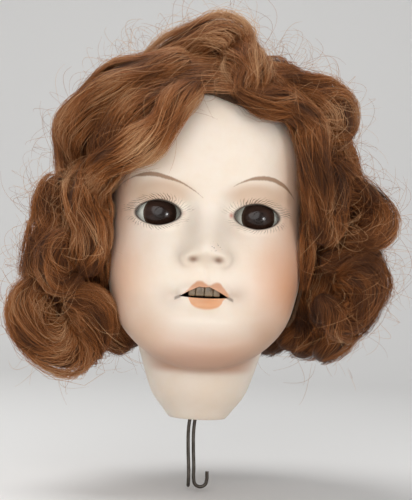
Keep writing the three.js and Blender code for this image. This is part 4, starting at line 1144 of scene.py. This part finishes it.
def strand_mesh(name, paths, radius, tint):
    """Three-sided strands along their routes, with a tint at each point. Their faces point inwards."""
    profile_curve = bpy.data.curves.new("strand_section", "CURVE")
    line = profile_curve.splines.new("POLY")
    line.points.add(2)
    for point, angle in zip(line.points, (math.pi / 2, math.pi * 7 / 6, math.pi * 11 / 6)):
        point.co = (math.cos(angle), math.sin(angle), 0, 1)
    line.use_cyclic_u = True
    section = linked("strand_section", profile_curve)
    curve = bpy.data.curves.new(name, "CURVE")
    curve.dimensions = "3D"
    curve.bevel_mode, curve.bevel_object = "OBJECT", section
    curve.use_fill_caps = True
    count, steps = paths.shape[:2]
    flat = np.concatenate([paths * MM, np.ones((count, steps, 1))], -1).astype(np.float32)
    taper = np.sin(np.linspace(0.25, math.pi - 0.2, steps)) ** 0.5
    for i in range(count):
        line = curve.splines.new("POLY")
        line.points.add(steps - 1)
        line.points.foreach_set("co", flat[i].ravel())
        line.points.foreach_set("radius", (radius[i] * taper).astype(np.float32))
    mesh = meshed(curve)
    bpy.data.objects.remove(section)
    bpy.data.curves.remove(profile_curve)
    # The tint of each point takes on the painted shade and highlights of the waves
    tones = np.clip(tint + shading(paths), 0, 1)
    caps_then_rings = np.concatenate([tones[::-1, [-1, 0]].ravel(), tones.ravel()])
    attribute = mesh.attributes.new("tint", "FLOAT", "POINT")
    attribute.data.foreach_set("value", np.repeat(caps_then_rings, 3).astype(np.float32))
    return mesh


class DOLL_OT_wig(bpy.types.Operator):
    """Mohair wig: a layer on the cap, locks over it, and loose fibres"""

    bl_idname = "doll.wig"
    bl_label = "Mohair wig"

    def execute(self, context):
        sizes = context.scene.doll_wig
        rng = np.random.default_rng(7)
        share = 1.0
        self.layer()
        for name, (width, depth, route) in LOCKS.items():
            finished(f"{name}_body", form(lock_body, width, depth, route), "root", "mohair_under", (name,))
            points = np.array(route) * (WIG_HALF_WIDTH, WIG_DEPTH, WIG_HEIGHT)
            length = np.linalg.norm(np.diff(points, axis=0), axis=1).sum()
            # The broad locks of the crown and the back have fewer strands, which are thicker
            fewer, thicker = (0.42, 1.5) if name.startswith(("back", "crown")) else (1, 1)
            count = int(sizes.strands * (width * depth) ** 0.5 * (0.4 + length / 60) * share * fewer)
            paths, tint = lock_strands(rng, width, depth, route, count)
            # Painted light and shade: locks are lighter towards the top and darker on the right, as in the
            # photograph
            shade = 0.04 + 0.45 * (points[:, 2].mean() / WIG_HEIGHT - 0.66) - 0.19 * (points[:, 0].mean() > 4)
            radius = sizes.strand_radius * rng.uniform(0.6, 1.25, count) * thicker
            placed(f"{name}_strands", strand_mesh(name, paths, radius, tint + shade), "root", "mohair")
        for name, (width, depth, route) in WISPS.items():
            paths, tint = lock_strands(rng, width, depth, route, int(WISP_STRANDS * share))
            radius = sizes.strand_radius * rng.uniform(0.5, 1, len(paths))
            placed(name, strand_mesh(name, paths, radius, tint + WISP_SHADE), "root", "mohair")
        self.combed(rng, sizes, share)
        self.flyaways(rng, sizes)
        return {"FINISHED"}

    @staticmethod
    def layer():
        """Hair that lies on the cap, open round the face."""
        rows = [2] * LANDMARKS
        bm = form(loft, plain_points, 96, rows, 1, HAIR_INSIDE + 0.8 * HAIR_THICKNESS)
        uv = bm.loops.layers.uv.verify()
        for face in bm.faces:
            for loop in face.loops:
                loop[uv].uv.x *= 4
        bm = cut(bm, form(loft, plain_points, 72, rows, 1, HAIR_INSIDE))
        line = [(x * HEAD_HALF_WIDTH, z * HEAD_HEIGHT) for x, z in HAIRLINE]
        window = [tuple(p) for p in spline(line, np.linspace(0, 1, 80))]
        bm = cut(bm, form(prism, window, BEFORE_WIG, -0.08 * FACE_DEPTH))
        # These blocks overlap, so the last cut leaves only slivers of the layer. Here both go into one cutter
        # and are cut away together.
        low = form(block, CUTTER, CUTTER, CUTTER, (0, 0, NAPE_HEIGHT - CUTTER / 2))
        block(low, CUTTER, CUTTER / 2, CUTTER / 2,
              (0, SIDE_BURN[0] - CUTTER / 4, SIDE_BURN[1] - CUTTER / 4))
        bm = cut(bm, low)
        finished("hair_layer", bm, "root", "mohair_under", ("hair_base",))

    @staticmethod
    def combed(rng, sizes, share):
        """Strands over the layer: from the parting to the sides, and from the crown down."""
        count, steps = int(sizes.combed * share), 16
        side = np.where(rng.random(count) < 0.5, -1, 1)
        parted = rng.random(count) < 0.55
        first = np.where(parted, rng.uniform(0.85, 0.99, count), 0.985)
        last = np.where(parted, rng.uniform(0.56, 0.72, count), rng.uniform(0.46, 0.6, count))
        sweep = side * np.where(parted, rng.uniform(0.9, 1.9, count), rng.uniform(1.0, math.pi, count))
        slow = np.where(parted, 1.9, 1.0)
        height = HAIR_INSIDE + HAIR_THICKNESS * rng.uniform(0.75, 1.15, count)

        def lay(t):
            angle = np.where(parted[:, None], sweep[:, None] * np.sin(t * math.pi / 2), sweep[:, None])
            place = first[:, None] + (last - first)[:, None] * t ** slow[:, None]
            return plain_points(angle, place, height[:, None])

        t = np.tile(np.linspace(0, 1, 60), (count, 1))
        at = lay(t)
        line = np.array(HAIRLINE[1:-1]) * (HEAD_HALF_WIDTH, HEAD_HEIGHT)
        edge = np.interp(at[..., 0], line[:, 0], line[:, 1], left=0, right=0)
        bare = (at[..., 2] < edge) & (at[..., 1] < -2)
        bare |= (at[..., 2] < SIDE_BURN[1]) & (at[..., 1] < SIDE_BURN[0])
        stop = np.where(bare.any(1), t[0][np.argmax(bare, axis=1)], 1) + 0.02
        kept = np.where(stop > 0.08)[0]
        at = lay(np.linspace(0, 1, steps)[None, :] * np.minimum(stop, 1)[:, None])
        at += wander(rng, count, steps, 2.2) * rng.uniform(0.15, 0.7, count)[:, None, None]
        radius = sizes.strand_radius * rng.uniform(0.7, 1.5, count)
        tint = rng.normal(0.42, 0.2, count)
        mesh = strand_mesh("combed", at[kept], radius[kept], tint[kept, None])
        placed("combed_strands", mesh, "root", "mohair")

    @staticmethod
    def flyaways(rng, sizes):
        """Single fibres that leave the locks and arc away."""
        routes = list(LOCKS.values())
        count = int(sizes.flyaways * (1))
        steps = 14
        paths = np.zeros((count, steps, 3))
        t = np.linspace(0, 1, steps)[:, None]
        for i in range(count):
            width, _, route = routes[rng.integers(len(routes))]
            centre, run, across, out = lock_course(route, 60)
            k = rng.integers(5, 55)
            turn = rng.uniform(0, math.pi)
            way = across[k] * math.cos(turn) + out[k] * math.sin(turn)
            root = centre[k] + way * LOCK_RADIUS * width * BODY_SHARE
            side = np.cross(way, run[k])
            reach, lean, bend = rng.uniform(1.5, 9), rng.uniform(-14, 14), rng.uniform(-8, 8)
            paths[i] = root + way * reach * np.sin(t * math.pi * rng.uniform(0.5, 0.95)) + run[k] * lean * t
            paths[i] += side * bend * t * t
        low, high = np.array(CAD_LOW) / MM - LOOSE_REACH, np.array(CAD_HIGH) / MM + LOOSE_REACH
        kept = ((paths > low) & (paths < high)).all((1, 2))
        radius = sizes.strand_radius * rng.uniform(0.5, 0.9, count)
        mesh = strand_mesh("flyaways", paths[kept], radius[kept], rng.uniform(0.3, 1, (count, 1))[kept])
        placed("loose_fibres", mesh, "root", "mohair")


class DOLL_OT_fittings(bpy.types.Operator):
    """Finishes of the pieces inside the head and under the neck"""

    bl_idname = "doll.fittings"
    bl_label = "Fittings"

    def execute(self, context):
        slots = {part["node"]: part["material_slot"] for part in frame["record"]["subparts"]}
        for name, node in frame["nodes"].items():
            if not node.hide_render:
                node.data.materials.clear()
                node.data.materials.append(paint_named(slots[name]))
        return {"FINISHED"}


class DOLL_OT_stage(bpy.types.Operator):
    """Pale floor and backdrop, soft light and the camera"""

    bl_idname = "doll.stage"
    bl_label = "Stage"

    def execute(self, context):
        self.sweep()
        self.light("key", (-0.08, -0.6, 0.24), 0.5, 1.65)
        self.light("fill", (0.36, -0.56, 0.06), 0.1, 0.8)
        self.light("top", (-0.2, 0.02, 0.6), 0.4, 1.8)
        world = bpy.data.worlds.new("studio")
        context.scene.world = world
        world.use_nodes = True
        world.node_tree.nodes["Background"].inputs["Color"].default_value = (0.92, 0.93, 0.95, 1)
        world.node_tree.nodes["Background"].inputs["Strength"].default_value = 0.46
        context.scene.view_settings.view_transform = "Standard"
        self.camera(context)
        return {"FINISHED"}

    @staticmethod
    def sweep():
        """Floor that turns up into a backdrop."""
        bm = bmesh.new()
        radius, floor, front, back, top, half = 0.25, -0.0214, -1.2, 0.75, 1.6, 2.0
        route = [(front, floor), (back - radius, floor)]
        route += [(back - radius + radius * math.sin(a), floor + radius - radius * math.cos(a))
                  for a in np.linspace(0.15, math.pi / 2, 11)]
        route.append((back, top))
        verts = [bm.verts.new((-half, y, z)) for y, z in route]
        edges = [bm.edges.new(pair) for pair in zip(verts, verts[1:])]
        made = bmesh.ops.extrude_edge_only(bm, edges=edges)
        moved = [v for v in made["geom"] if isinstance(v, bmesh.types.BMVert)]
        bmesh.ops.translate(bm, vec=(2 * half, 0, 0), verts=moved)
        bmesh.ops.recalc_face_normals(bm, faces=bm.faces)
        placed("backdrop", mesh_from("backdrop", bm), None, "backdrop")

    @staticmethod
    def light(name, place, size, power):
        """A round soft lamp that shines on the middle of the head."""
        lamp = bpy.data.lights.new(name, "AREA")
        lamp.shape, lamp.size, lamp.energy = "DISK", size, power
        obj = linked(name, lamp)
        obj.location = place
        obj.rotation_mode = "QUATERNION"
        obj.rotation_quaternion = (Vector(place) - Vector((0, 0, 0.05))).to_track_quat("Z", "Y")

    @staticmethod
    def camera(context):
        """Viewing angle of the photograph: the head turned, tipped and leant, seen from 36 cm."""
        distance, frame_height, target = 360, 500 / 3.454, Vector((0, 0, 50))
        yaw, pitch, roll = (math.radians(d) for d in (0.9, -2.22, 2.7))
        turn = Matrix.Rotation(roll, 3, "Y") @ Matrix.Rotation(pitch, 3, "X") @ Matrix.Rotation(yaw, 3, "Z")
        back = turn.transposed()
        data = bpy.data.cameras.new("camera")
        data.sensor_width = 36
        data.lens = data.sensor_width * distance / frame_height
        data.clip_start, data.clip_end = 0.01, 10
        obj = linked("camera", data)
        place = back @ Vector((0.26, -distance, -1.787)) + target
        axes = Matrix(((1, 0, 0), (0, 0, -1), (0, 1, 0)))
        obj.matrix_world = Matrix.Translation(place * MM) @ (back @ axes).to_4x4()
        context.scene.camera = obj


class DOLL_PT_panel(bpy.types.Panel):
    """Pieces of the doll head"""

    bl_label = "Doll head"
    bl_idname = "DOLL_PT_panel"
    bl_space_type = "VIEW_3D"
    bl_region_type = "UI"
    bl_category = "Doll head"

    def draw(self, context):
        for operator in OPERATORS:
            self.layout.operator(operator.bl_idname)
        for group in (context.scene.doll_look, context.scene.doll_wig):
            for name in group.__annotations__:
                self.layout.prop(group, name)


OPERATORS = (DOLL_OT_head, DOLL_OT_eyes, DOLL_OT_teeth, DOLL_OT_hook, DOLL_OT_wig, DOLL_OT_fittings,
             DOLL_OT_stage)
CLASSES = (DollHeadLook, DollWigSizes, *OPERATORS, DOLL_PT_panel)


def register():
    for cls in CLASSES:
        bpy.utils.register_class(cls)
    bpy.types.Scene.doll_look = PointerProperty(type=DollHeadLook)
    bpy.types.Scene.doll_wig = PointerProperty(type=DollWigSizes)


def unregister():
    del bpy.types.Scene.doll_wig
    del bpy.types.Scene.doll_look
    for cls in reversed(CLASSES):
        bpy.utils.unregister_class(cls)


def main():
    register()
    bpy.ops.doll.head()
    bpy.ops.doll.eyes()
    bpy.ops.doll.teeth()
    bpy.ops.doll.hook()
    bpy.ops.doll.wig()
    bpy.ops.doll.fittings()
    bpy.ops.doll.stage()


if __name__ == "__main__":
    main()
